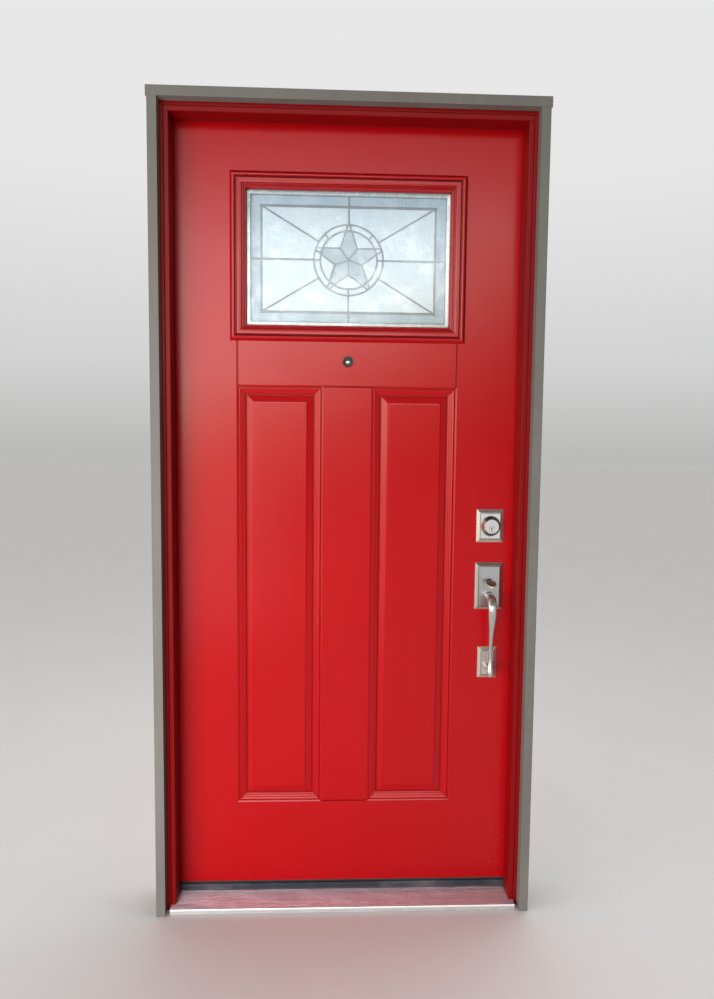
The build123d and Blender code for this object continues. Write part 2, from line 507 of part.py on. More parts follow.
cames = box(-glass_hx + 0.5, glass_hx - 0.5, came_y0, came_y1, gz0 + 0.5, gz1 - 0.5) - box(-edge_hx, edge_hx, came_y0 - 1, came_y1 + 1, lite_z - edge_hz, lite_z + edge_hz)
cames = cames + (box(-rect_hx - 2.6, rect_hx + 2.6, came_y0, came_y1, lite_z - rect_hz - 3.4, lite_z + rect_hz + 3.4) - box(-rect_hx + 2.6, rect_hx - 2.6, came_y0 - 1, came_y1 + 1, lite_z - rect_hz + 3.4, lite_z + rect_hz - 3.4))
cames = cames + (disc(ring_ro + came_w / 2) - disc(ring_ro - came_w / 2, came_y0 - 1, came_y1 + 1))
cames = cames + (disc(ring_ri + came_w / 2) - disc(ring_ri - came_w / 2, came_y0 - 1, came_y1 + 1))
for sx, sz in ((0, 1), (0, -1), (1, 0), (-1, 0)):             # level and upright lines to the border
    cames = cames + strip(sx * ring_ro, sz * ring_ro, sx * (edge_hx + 2) if sx else 0, sz * (edge_hz + 2) if sz else 0, came_w)
for sx in (-1, 1):
    for sz in (-1, 1):                                        # diagonals from the rectangle's corners to the ring
        L = math.hypot(rect_hx, rect_hz)
        ux, uz = sx * rect_hx / L, sz * rect_hz / L
        cames = cames + strip(ux * ring_ro, uz * ring_ro, sx * rect_hx, sz * rect_hz, came_w - 0.4)
for a in (0, 46, 134, 180, 270):                              # short stubs across the ring
    x0_, z0_ = polar(ring_ri, a)
    x1_, z1_ = polar(ring_ro, a)
    cames = cames + strip(x0_, z0_, x1_, z1_, came_w - 0.8)
star = []
for k in range(5):
    star.append(polar(star_r, 90 + 72 * k))
    star.append(polar(star_ri, 126 + 72 * k))
edges = None
for k in range(10):
    (xa, za), (xb, zb) = star[k], star[(k + 1) % 10]
    e = strip(xa, za, xb, zb, 4.0)
    edges = e if edges is None else edges + e
for k in range(5):                                            # rounded joints at the inner corners
    xa, za = polar(star_ri, 126 + 72 * k)
    edges = edges + cyl("y", xa, lite_z + za, 2.0, came_y0, came_y1)
edges = edges & disc(ring_ro, came_y0 - 1, came_y1 + 1)
cames = cames + edges
for a, w in ((54, 3.2), (126, 3.2), (198, 3.2), (342, 3.2), (270, 2.0)):
    xa, za = polar(star_ri, a)
    cames = cames + strip(0, 0, xa, za, w)
cames = cames + cyl("y", 0, lite_z, 2.6, came_y0, came_y1)
save(cames, "came_lattice")

sheet = box(-edge_hx, edge_hx, came_y0 + 0.5, came_y1 - 0.5, lite_z - edge_hz, lite_z + edge_hz) - cames
border_glass, star_glass, field_glass = [], [], []
for s in sheet.solids():
    c = s.center()
    cx, cz = c.X, c.Z - lite_z
    bb = s.bounding_box()
    if max(abs(bb.min.X), abs(bb.max.X)) > rect_hx + 5:
        border_glass.append(s)
    elif math.hypot(cx, cz) < 60 and any(abs((math.degrees(math.atan2(cz, cx)) - a + 180) % 360 - 180) < 14 for a in (90, 162, 234, 306, 18)):
        star_glass.append(s)
    else:
        field_glass.append(s)
save(joined(border_glass), "border_glass")
save(joined(star_glass), "star_glass")
save(joined(field_glass), "field_glass")
print("glass pieces: border", len(border_glass), "star", len(star_glass), "field", len(field_glass))

# --------------------------------------------------------------- door sweep
fins = [(4.0, slab_z0), (4.0, slab_z0 - 2.4), (5.2, slab_z0 - 2.4), (4.2, cap_top + 0.5), (5.8, cap_top + 0.5), (7.4, slab_z0 - 2.4),
        (19.0, slab_z0 - 2.4), (18.6, cap_top + 0.5), (20.2, cap_top + 0.5), (21.2, slab_z0 - 2.4),
        (32.5, slab_z0 - 2.4), (32.0, cap_top + 0.5), (33.6, cap_top + 0.5), (34.7, slab_z0 - 2.4), (40.5, slab_z0 - 2.4), (40.5, slab_z0)]
save(prism(fins, "x", -hw + 2.0, hw - 2.0), "door_sweep")

# ----------------------------------------------------------------- peephole
pb = cyl("y", 0, peep_z, peep_r, -0.2, 26.0) + cyl("y", 0, peep_z, 14.4, -1.4, 0.0) + cone_y(0, peep_z, 11.6, -5.0, 13.8, -1.4)
pb = pb - cyl("y", 0, peep_z, 5.6, -6.0, 30.0) - cone_y(0, peep_z, 10.6, -5.1, 7.0, -1.6)
save(pb, "peephole_barrel")
pt = cyl("y", 0, peep_z, 5.5, 8.0, slab_t + 0.2) + cyl("y", 0, peep_z, 11.5, slab_t, slab_t + 1.6) + cone_y(0, peep_z, 11.0, slab_t + 1.6, 9.0, slab_t + 3.2)
pt = pt - cyl("y", 0, peep_z, 4.0, 0, slab_t + 6.0)
for dx in (-10.0, 10.0):
    pt = pt - box(dx - 1.6, dx + 1.6, slab_t + 1.8, slab_t + 4, peep_z - 0.6, peep_z + 0.6)
save(pt, "peephole_tube")
lens = cyl("y", 0, peep_z, 5.5, -2.4, 4.0)
save(fillet(lens.edges().sort_by(Axis.Y)[0], 2.4), "peephole_lens")


# ------------------------------------------------------------ bevelled plates
def plate(cx, cz, w, h, high=8.4, back=0.0):
    """Rectangular escutcheon with a stepped, bevelled rim; the flat stands at -high."""
    k = high / 8.4
    prof = [(0, 0), (0, -1.8 * k), (0.8, -2.6 * k), (2.2, -3.2 * k), (7.6, -6.6 * k), (8.8, -7.0 * k), (9.6, -7.1 * k), (10.2, -8.0 * k), (10.8, -high), (13, -high), (13, 0)]
    p = ring(cx, cz, w / 2, h / 2, prof, 13.0) + box(cx - w / 2 + 13, cx + w / 2 - 13, -high, 0, cz - h / 2 + 13, cz + h / 2 - 13)
    p = p - box(cx - w / 2 + 7, cx + w / 2 - 7, -high + 3.6, 1, cz - h / 2 + 7, cz + h / 2 - 7)
    return p


plate_z = bolt_z + 7.0                                        # the lock cylinder sits above the bolt's axis
rose_out = plate(lock_x, plate_z, 73.3, 88.5)
rose_out = rose_out - cyl("y", lock_x, plate_z, 17.0, -20, 5)
save(rose_out, "deadbolt_rose_outside")

half = [(0.0, -23.4), (18.4, -23.4), (19.0, -24.4), (20.2, -24.4), (20.9, -23.6), (24.9, -10.0), (25.5, -9.2), (25.5, -8.4), (16.6, -8.4), (16.6, 3.0), (25.5, 3.0), (25.5, 7.0), (16.6, 7.0), (16.6, 12.0), (0.0, 12.0)]
face = make_face(Polyline(*[(lock_x + r, yy, plate_z) for r, yy in half], close=True))
cylinder = revolve(face, Axis((lock_x, 0, plate_z), (0, 1, 0)), 360)
cylinder = cylinder - box(lock_x - 30, lock_x + 30, 2.0, 8.0, bolt_z - 60, bolt_z - 26.4) - box(lock_x - 30, lock_x + 30, 2.0, 8.0, bolt_z + 26.4, bolt_z + 60)
cylinder = cylinder & (box(lock_x - 40, lock_x + 40, -30, 2.0, plate_z - 40, plate_z + 40) + cyl("y", lock_x, bolt_z, 26.4, 1.0, 20.0))
cylinder = cylinder - cyl("y", lock_x, bolt_z, 7.05, -40, 20)
for dz in (-19.0, 19.0):
    cylinder = cylinder - cyl("y", lock_x, bolt_z + dz, 2.1, 0.5, 12.5) if dz < 0 else cylinder - cyl("y", lock_x, bolt_z + dz, 2.1, 0.5, 12.5)
save(cylinder, "deadbolt_cylinder")

plug = cyl("y", lock_x, bolt_z, 7.0, -24.8, 12.5) + box(lock_x - 1.2, lock_x + 1.2, 12.4, 18.0, bolt_z - 4.0, bolt_z + 4.0)
plug = plug - box(lock_x - 0.9, lock_x + 0.9, -30, -6.0, bolt_z - 5.2, bolt_z + 2.4) - cyl("y", lock_x, bolt_z + 2.4, 1.9, -30, -6.0)
save(plug, "key_plug")

rose_in = flip(plate(lock_x, bolt_z, 73.3, 73.3))
rose_in = rose_in - cyl("y", lock_x, bolt_z, 6.05, slab_t - 5, slab_t + 20)
lever_rose = flip(plate(lock_x, latch_z, 73.3, 73.3))
lever_rose = lever_rose - cyl("y", lock_x, latch_z, 10.05, slab_t - 5, slab_t + 20)
top_in = slab_t + 8.4

through = []


def through_screw(x, z, y_tip, y_head, r=2.05, hr=4.2):
    s = cyl("y", x, z, r, y_tip, y_head - 2.0) + cone_y(x, z, r, y_head - 2.0 - 0.001, hr, y_head)
    s = s - box(x - 0.55, x + 0.55, y_head - 1.1, y_head + 1, z - 2.3, z + 2.3) - box(x - 2.3, x + 2.3, y_head - 1.1, y_head + 1, z - 0.55, z + 0.55)
    return s


def through_cut(x, z, y_head, r=2.05, hr=4.2, c=0.12):
    return cyl("y", x, z, r + c, slab_t - 1, y_head + 1) + cone_y(x, z, r + c, y_head - 2.08, hr + c, y_head)


for dz in (-19.0, 19.0):
    rose_in = rose_in - through_cut(lock_x, bolt_z + dz, top_in)
    through.append(through_screw(lock_x, bolt_z + dz, 3.2, top_in - 0.06))
for dz in (-22.0, 22.0):
    lever_rose = lever_rose - through_cut(lock_x, latch_z + dz, top_in)
    through.append(through_screw(lock_x, latch_z + dz, -2.5, top_in - 0.06))
save(rose_in, "deadbolt_rose_inside")
save(lever_rose, "lever_rose_inside")


# -------------------------------------------------------- bolt and latch cases
def case(zc, hole):
    c = cyl("x", mid_y, zc, 12.2, 402.0, hw - face_t) + box(371.0, 404.0, mid_y - 8, mid_y + 8, zc - 11, zc + 11)
    fp = fillet(box(hw - face_t, hw, mid_y - face_hw, mid_y + face_hw, zc - face_hh, zc + face_hh).edges().filter_by(Axis.X), 1.2)
    c = c + fp
    c = c - cyl("x", mid_y, zc, 10.6, 403.5, hw - face_t) - hole - cyl("y", lock_x, zc, 6.5, -10, 60)
    for dz in (-21.5, 21.5):
        c = c - screw_hole_x(hw, mid_y, zc + dz, -1, f_head, f_shank, f_len)
    return c


bolt_case = case(bolt_z, cyl("x", mid_y, bolt_z, bolt_r + 0.4, 430, hw + 1))
latch_case = case(latch_z, box(430, hw + 1, mid_y - latch_hw - 0.4, mid_y + latch_hw + 0.4, latch_z - latch_hh - 0.4, latch_z + latch_hh + 0.4))
save(bolt_case, "deadbolt_case")
save(latch_case, "latch_case")

bolt = cyl("x", mid_y, bolt_z, bolt_r, 404.0, hw - 0.3)
bolt = chamfer(bolt.edges().sort_by(Axis.X)[-1], 0.8)
bolt = bolt - box(403.0, 414.0, mid_y - 1.8, mid_y + 1.8, bolt_z - 9, bolt_z + 9)
save(bolt, "deadbolt_bolt")

tip_x = hw - 0.3
nose = prism([(428.0, mid_y - latch_hw), (tip_x - 11.0, mid_y - latch_hw), (tip_x, mid_y + 2.6), (tip_x, mid_y + latch_hw), (428.0, mid_y + latch_hw)], "z", latch_z - latch_hh, latch_z + latch_hh)
latch = nose + cyl("x", mid_y, latch_z, 3.2, 404.0, 428.5)
save(latch, "latch_bolt")

# -------------------------------------------------------- outside handleset
upper_z, upper_h = 860.5, 127.0
upper = plate(lock_x, upper_z, 75.5, upper_h)
for dz in (-22.0, 22.0):                                      # posts that take the through screws
    upper = upper + cyl("y", lock_x, latch_z + dz, 4.5, -5.0, 7.0) - cyl("y", lock_x, latch_z + dz, 2.12, -3.0, 8.0)
tp_y, tp_z = -3.0, latch_z                                    # thumbpiece pivot, in a bearing block behind the plate
upper = upper + box(lock_x - 11.5, lock_x + 11.5, -5.0, -0.4, tp_z - 8.5, tp_z + 8.5)
slot = fillet(box(lock_x - 5.6, lock_x + 5.6, -12, 2, tp_z - 4.4, tp_z + 4.4).edges().filter_by(Axis.Y), 1.5)
upper = upper - slot - cyl("x", tp_y, tp_z, 1.55, lock_x - 9.4, lock_x + 9.4)
save(upper, "handle_plate_upper")
lower_z, lower_h = 651.5, 85.0
lower = plate(lock_x, lower_z, 52.0, lower_h)
lower = lower - cyl("y", lock_x, 641.0, 3.3, -12, 2)
save(lower, "handle_plate_lower")

grip_path = [(-8.4, 834.4), (-15.0, 834.4), (-25.0, 835.2), (-36.0, 834.6), (-46.5, 830.0), (-54.0, 821.5), (-58.0, 808.5), (-58.3, 794.0),
             (-57.0, 780.0), (-54.8, 766.0), (-52.2, 752.0), (-49.5, 738.0), (-47.2, 724.0), (-45.4, 710.0), (-44.2, 690.0), (-44.2, 669.0),
             (-45.2, 656.0), (-46.6, 643.0), (-47.6, 633.0), (-48.0, 627.0), (-48.1, 623.6)]
grip_sec = [(12.6, 12.0), (11.2, 9.8), (10.8, 8.2), (11.3, 7.2), (11.8, 6.6), (11.6, 6.2), (11.1, 6.0), (10.6, 5.8),
            (9.8, 5.6), (8.5, 5.3), (7.3, 5.0), (6.4, 4.8), (5.75, 4.7), (5.5, 4.6), (5.35, 4.6), (5.65, 4.7),
            (6.9, 5.1), (8.85, 5.8), (9.1, 6.0), (7.4, 5.2), (4.6, 3.4)]
grip = loft_along([(lock_x, y, z) for y, z in grip_path], grip_sec)
foot = cone_y(lock_x, 641.0, 6.8, -46.0, 7.6, -26.0) + cone_y(lock_x, 641.0, 7.6, -26.0, 10.2, -8.4)
grip = grip + foot - cyl("y", lock_x, 641.0, 3.05, -24.0, 0)
save(grip, "pull_grip")

s = cyl("y", lock_x, 641.0, 3.0, -20.0, slab_t) + fillet(cyl("y", lock_x, 641.0, 8.0, slab_t, slab_t + 3.6).edges().sort_by(Axis.Y)[-1], 2.0)
s = s - box(lock_x - 0.8, lock_x + 0.8, slab_t + 2.2, slab_t + 5, 636.5, 645.5)
through.append(s)
save(joined(through), "through_screws")

tilt = math.radians(21)                                       # the thumb pad slopes down and outwards
pad_pl = Plane(origin=(lock_x, -23.0, tp_z - 0.6), x_dir=(1, 0, 0), z_dir=(0, -math.sin(tilt), math.cos(tilt)))
edge = Spline((-11.0, -1.5), (-12.6, -9.0), (-12.9, -15.0), (-11.0, -24.0), (-6.6, -31.0), (0.0, -34.0), (6.6, -31.0), (11.0, -24.0), (12.9, -15.0), (12.6, -9.0), (11.0, -1.5))
pad = extrude(pad_pl * make_face(edge + Line((11.0, -1.5), (-11.0, -1.5))), amount=3.6)
pad = fillet(pad.edges(), 1.0)
dish = Pos(pad_pl.from_local_coords(Vector(0, -15.0, 63.6))) * Sphere(61.6)
neck = prism([(tp_y, tp_z - 2.6), (tp_y, tp_z + 2.6), (-13.0, tp_z + 2.6), (-22.0, tp_z + 2.0), (-27.0, tp_z - 1.0), (-46.0, tp_z - 8.2), (-46.0, tp_z - 11.0), (-36.0, tp_z - 8.6), (-22.0, tp_z - 3.4), (-13.0, tp_z - 2.6)], "x", lock_x - 4.6, lock_x + 4.6)
hub = cyl("x", tp_y, tp_z, 3.3, lock_x - 4.6, lock_x + 4.6) + cyl("x", tp_y, tp_z, 1.5, lock_x - 9.0, lock_x + 9.0)
tail = box(lock_x - 2.5, lock_x + 2.5, tp_y, 12.0, tp_z - 2.4, tp_z + 2.4)
save(pad + neck + hub + tail - dish, "thumbpiece")

# ---------------------------------------------------------- inside turn, lever
neck_t = cyl("y", lock_x, bolt_z, 6.0, slab_t - 1.5, top_in + 5.0)
turn = extrude(Plane(origin=(lock_x, top_in + 4.0, bolt_z), x_dir=(1, 0, 0), z_dir=(0, 1, 0)) * Ellipse(6.4, 17.0), amount=14.0)
turn = fillet(turn.edges(), 2.0)
bar = box(lock_x - 1.2, lock_x + 1.2, 20.0, slab_t - 1.0, bolt_z - 4.0, bolt_z + 4.0)
save(turn + neck_t + bar, "thumbturn")

lever_y = top_in + 33.0
arm_path = [(6.0, lever_y, latch_z), (-8.0, lever_y + 1.0, latch_z + 0.5), (-30.0, lever_y + 1.5, latch_z + 1.5), (-60.0, lever_y + 0.5, latch_z + 1.0), (-90.0, lever_y - 1.5, latch_z - 1.5), (-112.0, lever_y - 4.0, latch_z - 4.0)]
arm_sec = [(9.0, 7.0), (10.0, 7.6), (9.4, 7.0), (9.0, 6.2), (9.6, 5.8), (7.0, 4.6)]
arm = loft_along([(lock_x + x, y, z) for x, y, z in arm_path], arm_sec)
lever = arm + cyl("y", lock_x, latch_z, 10.0, slab_t - 1.5, lever_y) + fillet(cyl("y", lock_x, latch_z, 13.5, top_in + 0.4, top_in + 8.0).edges().sort_by(Axis.Y)[-1], 3.0)
lever = lever + fillet(cyl("y", lock_x, latch_z, 11.5, lever_y - 12.0, lever_y + 8.5).edges(), 4.0)
spindle = box(lock_x - 3.5, lock_x + 3.5, 20.0, slab_t - 1.0, latch_z - 3.5, latch_z + 3.5)
save(lever + spindle, "inside_lever")
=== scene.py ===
import math
import random

import bmesh
import bpy
from mathutils import Matrix, Vector


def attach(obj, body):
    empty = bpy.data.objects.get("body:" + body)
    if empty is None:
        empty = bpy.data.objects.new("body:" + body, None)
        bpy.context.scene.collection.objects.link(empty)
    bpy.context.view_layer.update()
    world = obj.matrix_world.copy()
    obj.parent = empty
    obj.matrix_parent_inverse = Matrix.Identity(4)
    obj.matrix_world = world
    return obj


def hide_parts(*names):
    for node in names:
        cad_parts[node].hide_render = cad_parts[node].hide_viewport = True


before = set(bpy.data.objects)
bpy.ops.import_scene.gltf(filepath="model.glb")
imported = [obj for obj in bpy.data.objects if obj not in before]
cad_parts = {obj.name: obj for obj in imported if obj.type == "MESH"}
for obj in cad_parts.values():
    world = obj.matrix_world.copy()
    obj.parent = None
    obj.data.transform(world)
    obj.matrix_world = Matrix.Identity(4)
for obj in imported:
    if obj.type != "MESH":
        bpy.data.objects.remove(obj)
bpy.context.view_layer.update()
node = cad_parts
random.seed(7)


# ------------------------------------------------------------- node helpers
class Mat:
    """One procedural material: a Principled shader and short calls for the nodes that feed it."""

    def __init__(self, name, **kw):
        self.m = bpy.data.materials.new(name)
        self.m.use_nodes = True
        self.nt = self.m.node_tree
        self.nt.nodes.clear()
        self.out = self.nt.nodes.new("ShaderNodeOutputMaterial")
        self.b = self.nt.nodes.new("ShaderNodeBsdfPrincipled")
        self.nt.links.new(self.b.outputs[0], self.out.inputs[0])
        self.co = self.nt.nodes.new("ShaderNodeTexCoord").outputs["Object"]
        self.normal = None
        for k, v in kw.items():
            self.b.inputs[k].default_value = v

    def n(self, kind, **kw):
        nd = self.nt.nodes.new(kind)
        for k, v in kw.items():
            setattr(nd, k, v)
        return nd

    def link(self, a, b):
        self.nt.links.new(a, b)

    def feed(self, sock, v):
        if hasattr(v, "is_output"):
            self.link(v, sock)
        else:
            sock.default_value = v

    def stretch(self, x, y, z, off=(0, 0, 0)):
        mp = self.n("ShaderNodeMapping")
        mp.inputs["Scale"].default_value = (x, y, z)
        mp.inputs["Location"].default_value = off
        self.link(self.co, mp.inputs["Vector"])
        return mp.outputs[0]

    def noise(self, scale, detail=3.0, rough=0.55, vec=None, distortion=0.0):
        nd = self.n("ShaderNodeTexNoise")
        nd.inputs["Scale"].default_value = scale
        nd.inputs["Detail"].default_value = detail
        nd.inputs["Roughness"].default_value = rough
        nd.inputs["Distortion"].default_value = distortion
        self.link(vec if vec is not None else self.co, nd.inputs["Vector"])
        return nd.outputs["Fac"]

    def voronoi(self, scale, vec=None, feature="F1", smooth=0.0):
        nd = self.n("ShaderNodeTexVoronoi", feature=feature)
        nd.inputs["Scale"].default_value = scale
        if feature == "SMOOTH_F1":
            nd.inputs["Smoothness"].default_value = smooth
        self.link(vec if vec is not None else self.co, nd.inputs["Vector"])
        return nd.outputs["Distance"]

    def remap(self, v, a, b, c, d, clamp=True, smooth=False):
        nd = self.n("ShaderNodeMapRange")
        nd.clamp = clamp
        if smooth:
            nd.interpolation_type = "SMOOTHSTEP"
        self.link(v, nd.inputs[0])
        for i, x in enumerate((a, b, c, d)):
            nd.inputs[i + 1].default_value = x
        return nd.outputs[0]

    def math(self, op, a, b=0.0):
        nd = self.n("ShaderNodeMath", operation=op)
        self.feed(nd.inputs[0], a)
        self.feed(nd.inputs[1], b)
        return nd.outputs[0]

    def mix(self, f, a, b, mode="MIX"):
        nd = self.n("ShaderNodeMix", data_type="RGBA", blend_type=mode)
        self.feed(nd.inputs[0], f)
        self.feed(nd.inputs[6], a)
        self.feed(nd.inputs[7], b)
        return nd.outputs[2]

    def xyz(self, i):
        nd = self.n("ShaderNodeSeparateXYZ")
        self.link(self.co, nd.inputs[0])
        return nd.outputs[i]

    def color(self, v):
        self.feed(self.b.inputs["Base Color"], v)

    def rough(self, v):
        self.feed(self.b.inputs["Roughness"], v)

    def bump(self, h, strength, dist):
        nd = self.n("ShaderNodeBump")
        nd.inputs["Strength"].default_value = strength
        nd.inputs["Distance"].default_value = dist
        self.link(h, nd.inputs["Height"])
        if self.normal is not None:
            self.link(self.normal, nd.inputs["Normal"])
        self.normal = nd.outputs[0]
        self.link(self.normal, self.b.inputs["Normal"])

    def soften(self, r, samples=4):
        """Eases hard model edges as paint and polishing do."""
        nd = self.n("ShaderNodeBevel", samples=samples)
        nd.inputs["Radius"].default_value = r
        self.normal = nd.outputs[0]
        self.link(self.normal, self.b.inputs["Normal"])


def c4(r, g, b):
    return (r, g, b, 1.0)


# ---------------------------------------------------------------- materials
def paint(name, base, dark, dust, rough=(0.34, 0.46), brush=None, edge=0.0006, low=0.35, shine=0.5, crease_shade=0.0):
    m = Mat(name)
    m.b.inputs["Specular IOR Level"].default_value = shine
    m.b.inputs["IOR"].default_value = 1.46
    m.soften(edge)
    cloud = m.noise(1.6, 4.0, 0.6)
    fine = m.noise(38.0, 4.0, 0.6)
    col = m.mix(m.remap(cloud, 0.35, 0.68, 0.0, 1.0), c4(*base), c4(*dark))
    col = m.mix(m.remap(fine, 0.45, 0.75, 0.0, 0.06), col, c4(*dark))
    if crease_shade:                                                   # painted shade: the paint is darkened in grooves and creases by an occlusion mask
        crease_occlusion = m.n("ShaderNodeAmbientOcclusion", samples=6, only_local=True)
        crease_occlusion.inputs["Distance"].default_value = 0.011
        col = m.mix(m.remap(crease_occlusion.outputs["AO"], 0.50, 0.97, crease_shade, 0.0), col, c4(base[0] * 0.16, base[1] * 0.2, base[2] * 0.2))
    # a little splash dust close to the sill
    specks = m.noise(160.0, 5.0, 0.7)
    height = m.remap(m.xyz(2), 0.02, low, 1.0, 0.0, smooth=True)
    dirt = m.math("MULTIPLY", m.math("MULTIPLY", m.remap(specks, 0.54, 0.80, 0.0, 1.0), height), 0.13)
    col = m.mix(dirt, col, c4(*dust))
    m.color(col)
    r = m.remap(m.noise(4.0, 2.0, 0.45), 0.3, 0.72, rough[0], rough[1])
    r = m.math("ADD", r, m.math("MULTIPLY", dirt, 0.5))
    m.rough(m.math("ADD", r, m.remap(fine, 0.3, 0.8, -0.006, 0.010)))
    if brush == "z":
        m.bump(m.noise(60.0, 4.0, 0.6, m.stretch(9.0, 9.0, 0.12)), 0.30, 0.0006)
    elif brush == "x":
        m.bump(m.noise(60.0, 4.0, 0.6, m.stretch(0.12, 9.0, 9.0)), 0.30, 0.0006)
    m.bump(m.noise(520.0, 2.0, 0.5), 0.07, 0.0002)
    m.bump(m.noise(9.0, 1.0, 0.4), 0.03, 0.004)
    return m.m


red_skin = paint("red_skin_paint", (0.380, 0.0016, 0.0040), (0.350, 0.0012, 0.0034), (0.40, 0.16, 0.13), rough=(0.22, 0.27), edge=0.0003, crease_shade=0.9)
red_lite = paint("red_lite_paint", (0.350, 0.0016, 0.0040), (0.315, 0.0012, 0.0034), (0.40, 0.16, 0.13), rough=(0.21, 0.26), edge=0.0004, crease_shade=1.0)
red_upright = paint("red_jamb_paint", (0.215, 0.0016, 0.0024), (0.175, 0.0012, 0.0020), (0.24, 0.10, 0.08), rough=(0.34, 0.44), brush="z", edge=0.0009, low=0.30, shine=0.30)
red_level = paint("red_head_paint", (0.215, 0.0016, 0.0024), (0.175, 0.0012, 0.0020), (0.24, 0.10, 0.08), rough=(0.34, 0.44), brush="x", edge=0.0009, shine=0.30)


def surround():
    m = Mat("surround_paint")
    m.soften(0.0005)
    cloud = m.noise(3.0, 5.0, 0.6)
    fine = m.noise(70.0, 4.0, 0.6)
    col = m.mix(m.remap(cloud, 0.3, 0.7, 0.0, 1.0), c4(0.128, 0.119, 0.110), c4(0.165, 0.156, 0.146))
    col = m.mix(m.remap(fine, 0.5, 0.8, 0.0, 0.25), col, c4(0.095, 0.088, 0.080))
    runs = m.noise(12.0, 4.0, 0.7, m.stretch(5.0, 5.0, 0.3))
    m.color(m.mix(m.remap(runs, 0.56, 0.76, 0.0, 0.35), col, c4(0.22, 0.21, 0.195)))
    m.rough(m.remap(cloud, 0.3, 0.7, 0.42, 0.58))
    m.bump(m.noise(900.0, 2.0, 0.5), 0.12, 0.0002)
    m.bump(m.noise(4.0, 3.0, 0.5), 0.12, 0.003)
    return m.m


def aluminium_deck():
    m = Mat("deck_aluminium", Metallic=0.85)
    m.soften(0.0003)
    drag = m.noise(240.0, 4.0, 0.6, m.stretch(0.02, 1.0, 1.0))
    spots = m.noise(30.0, 5.0, 0.65)
    # painted reflection: the aluminium's base colour is tinted pink for the red door mirrored in it
    col = m.mix(m.remap(spots, 0.35, 0.75, 0.0, 1.0), c4(0.74, 0.57, 0.64), c4(0.58, 0.44, 0.50))
    scuff = m.remap(m.noise(26.0, 5.0, 0.65, m.stretch(0.10, 5.0, 1.0)), 0.52, 0.76, 0.0, 0.38)
    col = m.mix(scuff, col, c4(0.26, 0.22, 0.21))
    nose_highlight = m.remap(m.xyz(1), -0.0850, -0.0842, 1.0, 0.0)         # painted highlight: the front nose is paler and less metallic, with a brighter strip along its top edge
    m.color(m.mix(nose_highlight, col, m.mix(m.remap(spots, 0.4, 0.75, 0.0, 0.5), m.mix(m.remap(m.xyz(2), 0.0085, 0.0100, 0.0, 1.0), c4(0.46, 0.45, 0.46), c4(0.86, 0.86, 0.88)), c4(0.62, 0.60, 0.60))))
    m.feed(m.b.inputs["Metallic"], m.remap(nose_highlight, 0.0, 1.0, 0.85, 0.25))
    r = m.remap(drag, 0.3, 0.7, 0.24, 0.36)
    m.rough(m.math("ADD", r, m.math("MULTIPLY", scuff, 0.25)))
    m.bump(drag, 0.25, 0.0002)
    m.bump(spots, 0.05, 0.0006)
    return m.m


def plain_plastic(name, col, col2, rough, scale=60.0, bump=0.15):
    m = Mat(name)
    m.soften(0.0005)
    f = m.noise(scale, 5.0, 0.65)
    big = m.noise(7.0, 4.0, 0.6)
    c = m.mix(m.remap(f, 0.35, 0.7, 0.0, 1.0), c4(*col), c4(*col2))
    dusty = m.remap(big, 0.48, 0.76, 0.0, 0.30)
    m.color(m.mix(dusty, c, c4(0.30, 0.28, 0.27)))
    m.rough(m.remap(f, 0.3, 0.7, rough - 0.06, rough + 0.08))
    m.bump(m.noise(scale * 9, 3.0, 0.6), bump, 0.0003)
    return m.m


def nickel(name, axis="z", tint=(0.69, 0.685, 0.67), rough=(0.24, 0.34), metal=1.0, zone=None):
    """Satin plate: fine drag lines one way, faint handling marks."""
    m = Mat(name, Metallic=metal)
    m.soften(0.0004)
    s = {"z": (1.0, 1.0, 0.03), "x": (0.03, 1.0, 1.0)}[axis]
    lines = m.noise(1500.0, 3.0, 0.6, m.stretch(*s))
    marks = m.noise(45.0, 5.0, 0.7)
    c = m.mix(m.remap(marks, 0.35, 0.75, 0.0, 1.0), c4(*tint), c4(*[v * 0.91 for v in tint]))
    if zone:
        c = zone(m, c)
    m.color(c)
    r = m.remap(lines, 0.25, 0.75, rough[0], rough[1])
    m.rough(m.math("ADD", r, m.remap(marks, 0.4, 0.8, -0.01, 0.03)))
    m.bump(lines, 0.05, 0.00005)
    m.b.inputs["Anisotropic"].default_value = 0.35
    return m.m


LOCK_X, COLLAR_Z, PLUG_Z, PEEP_Z = 0.38415, 1.023, 1.016, 1.451


def from_axis(m, cx, cz):
    dx, dz = m.math("SUBTRACT", m.xyz(0), cx), m.math("SUBTRACT", m.xyz(2), cz)
    r = m.math("SQRT", m.math("ADD", m.math("MULTIPLY", dx, dx), m.math("MULTIPLY", dz, dz)))
    return dx, dz, r


def collar_zone(m, c):
    """Painted shade and highlight: the turned cone around the lock face is painted dark, with a painted highlight on
    its left side.
    """
    dx, dz, r = from_axis(m, LOCK_X, COLLAR_Z)
    lit = m.remap(dx, -0.021, -0.013, 1.0, 0.0, smooth=True)
    cone = m.mix(lit, c4(0.14, 0.105, 0.085), c4(0.80, 0.70, 0.56))
    return m.mix(m.remap(r, 0.0186, 0.0194, 0.0, 1.0), c, cone)


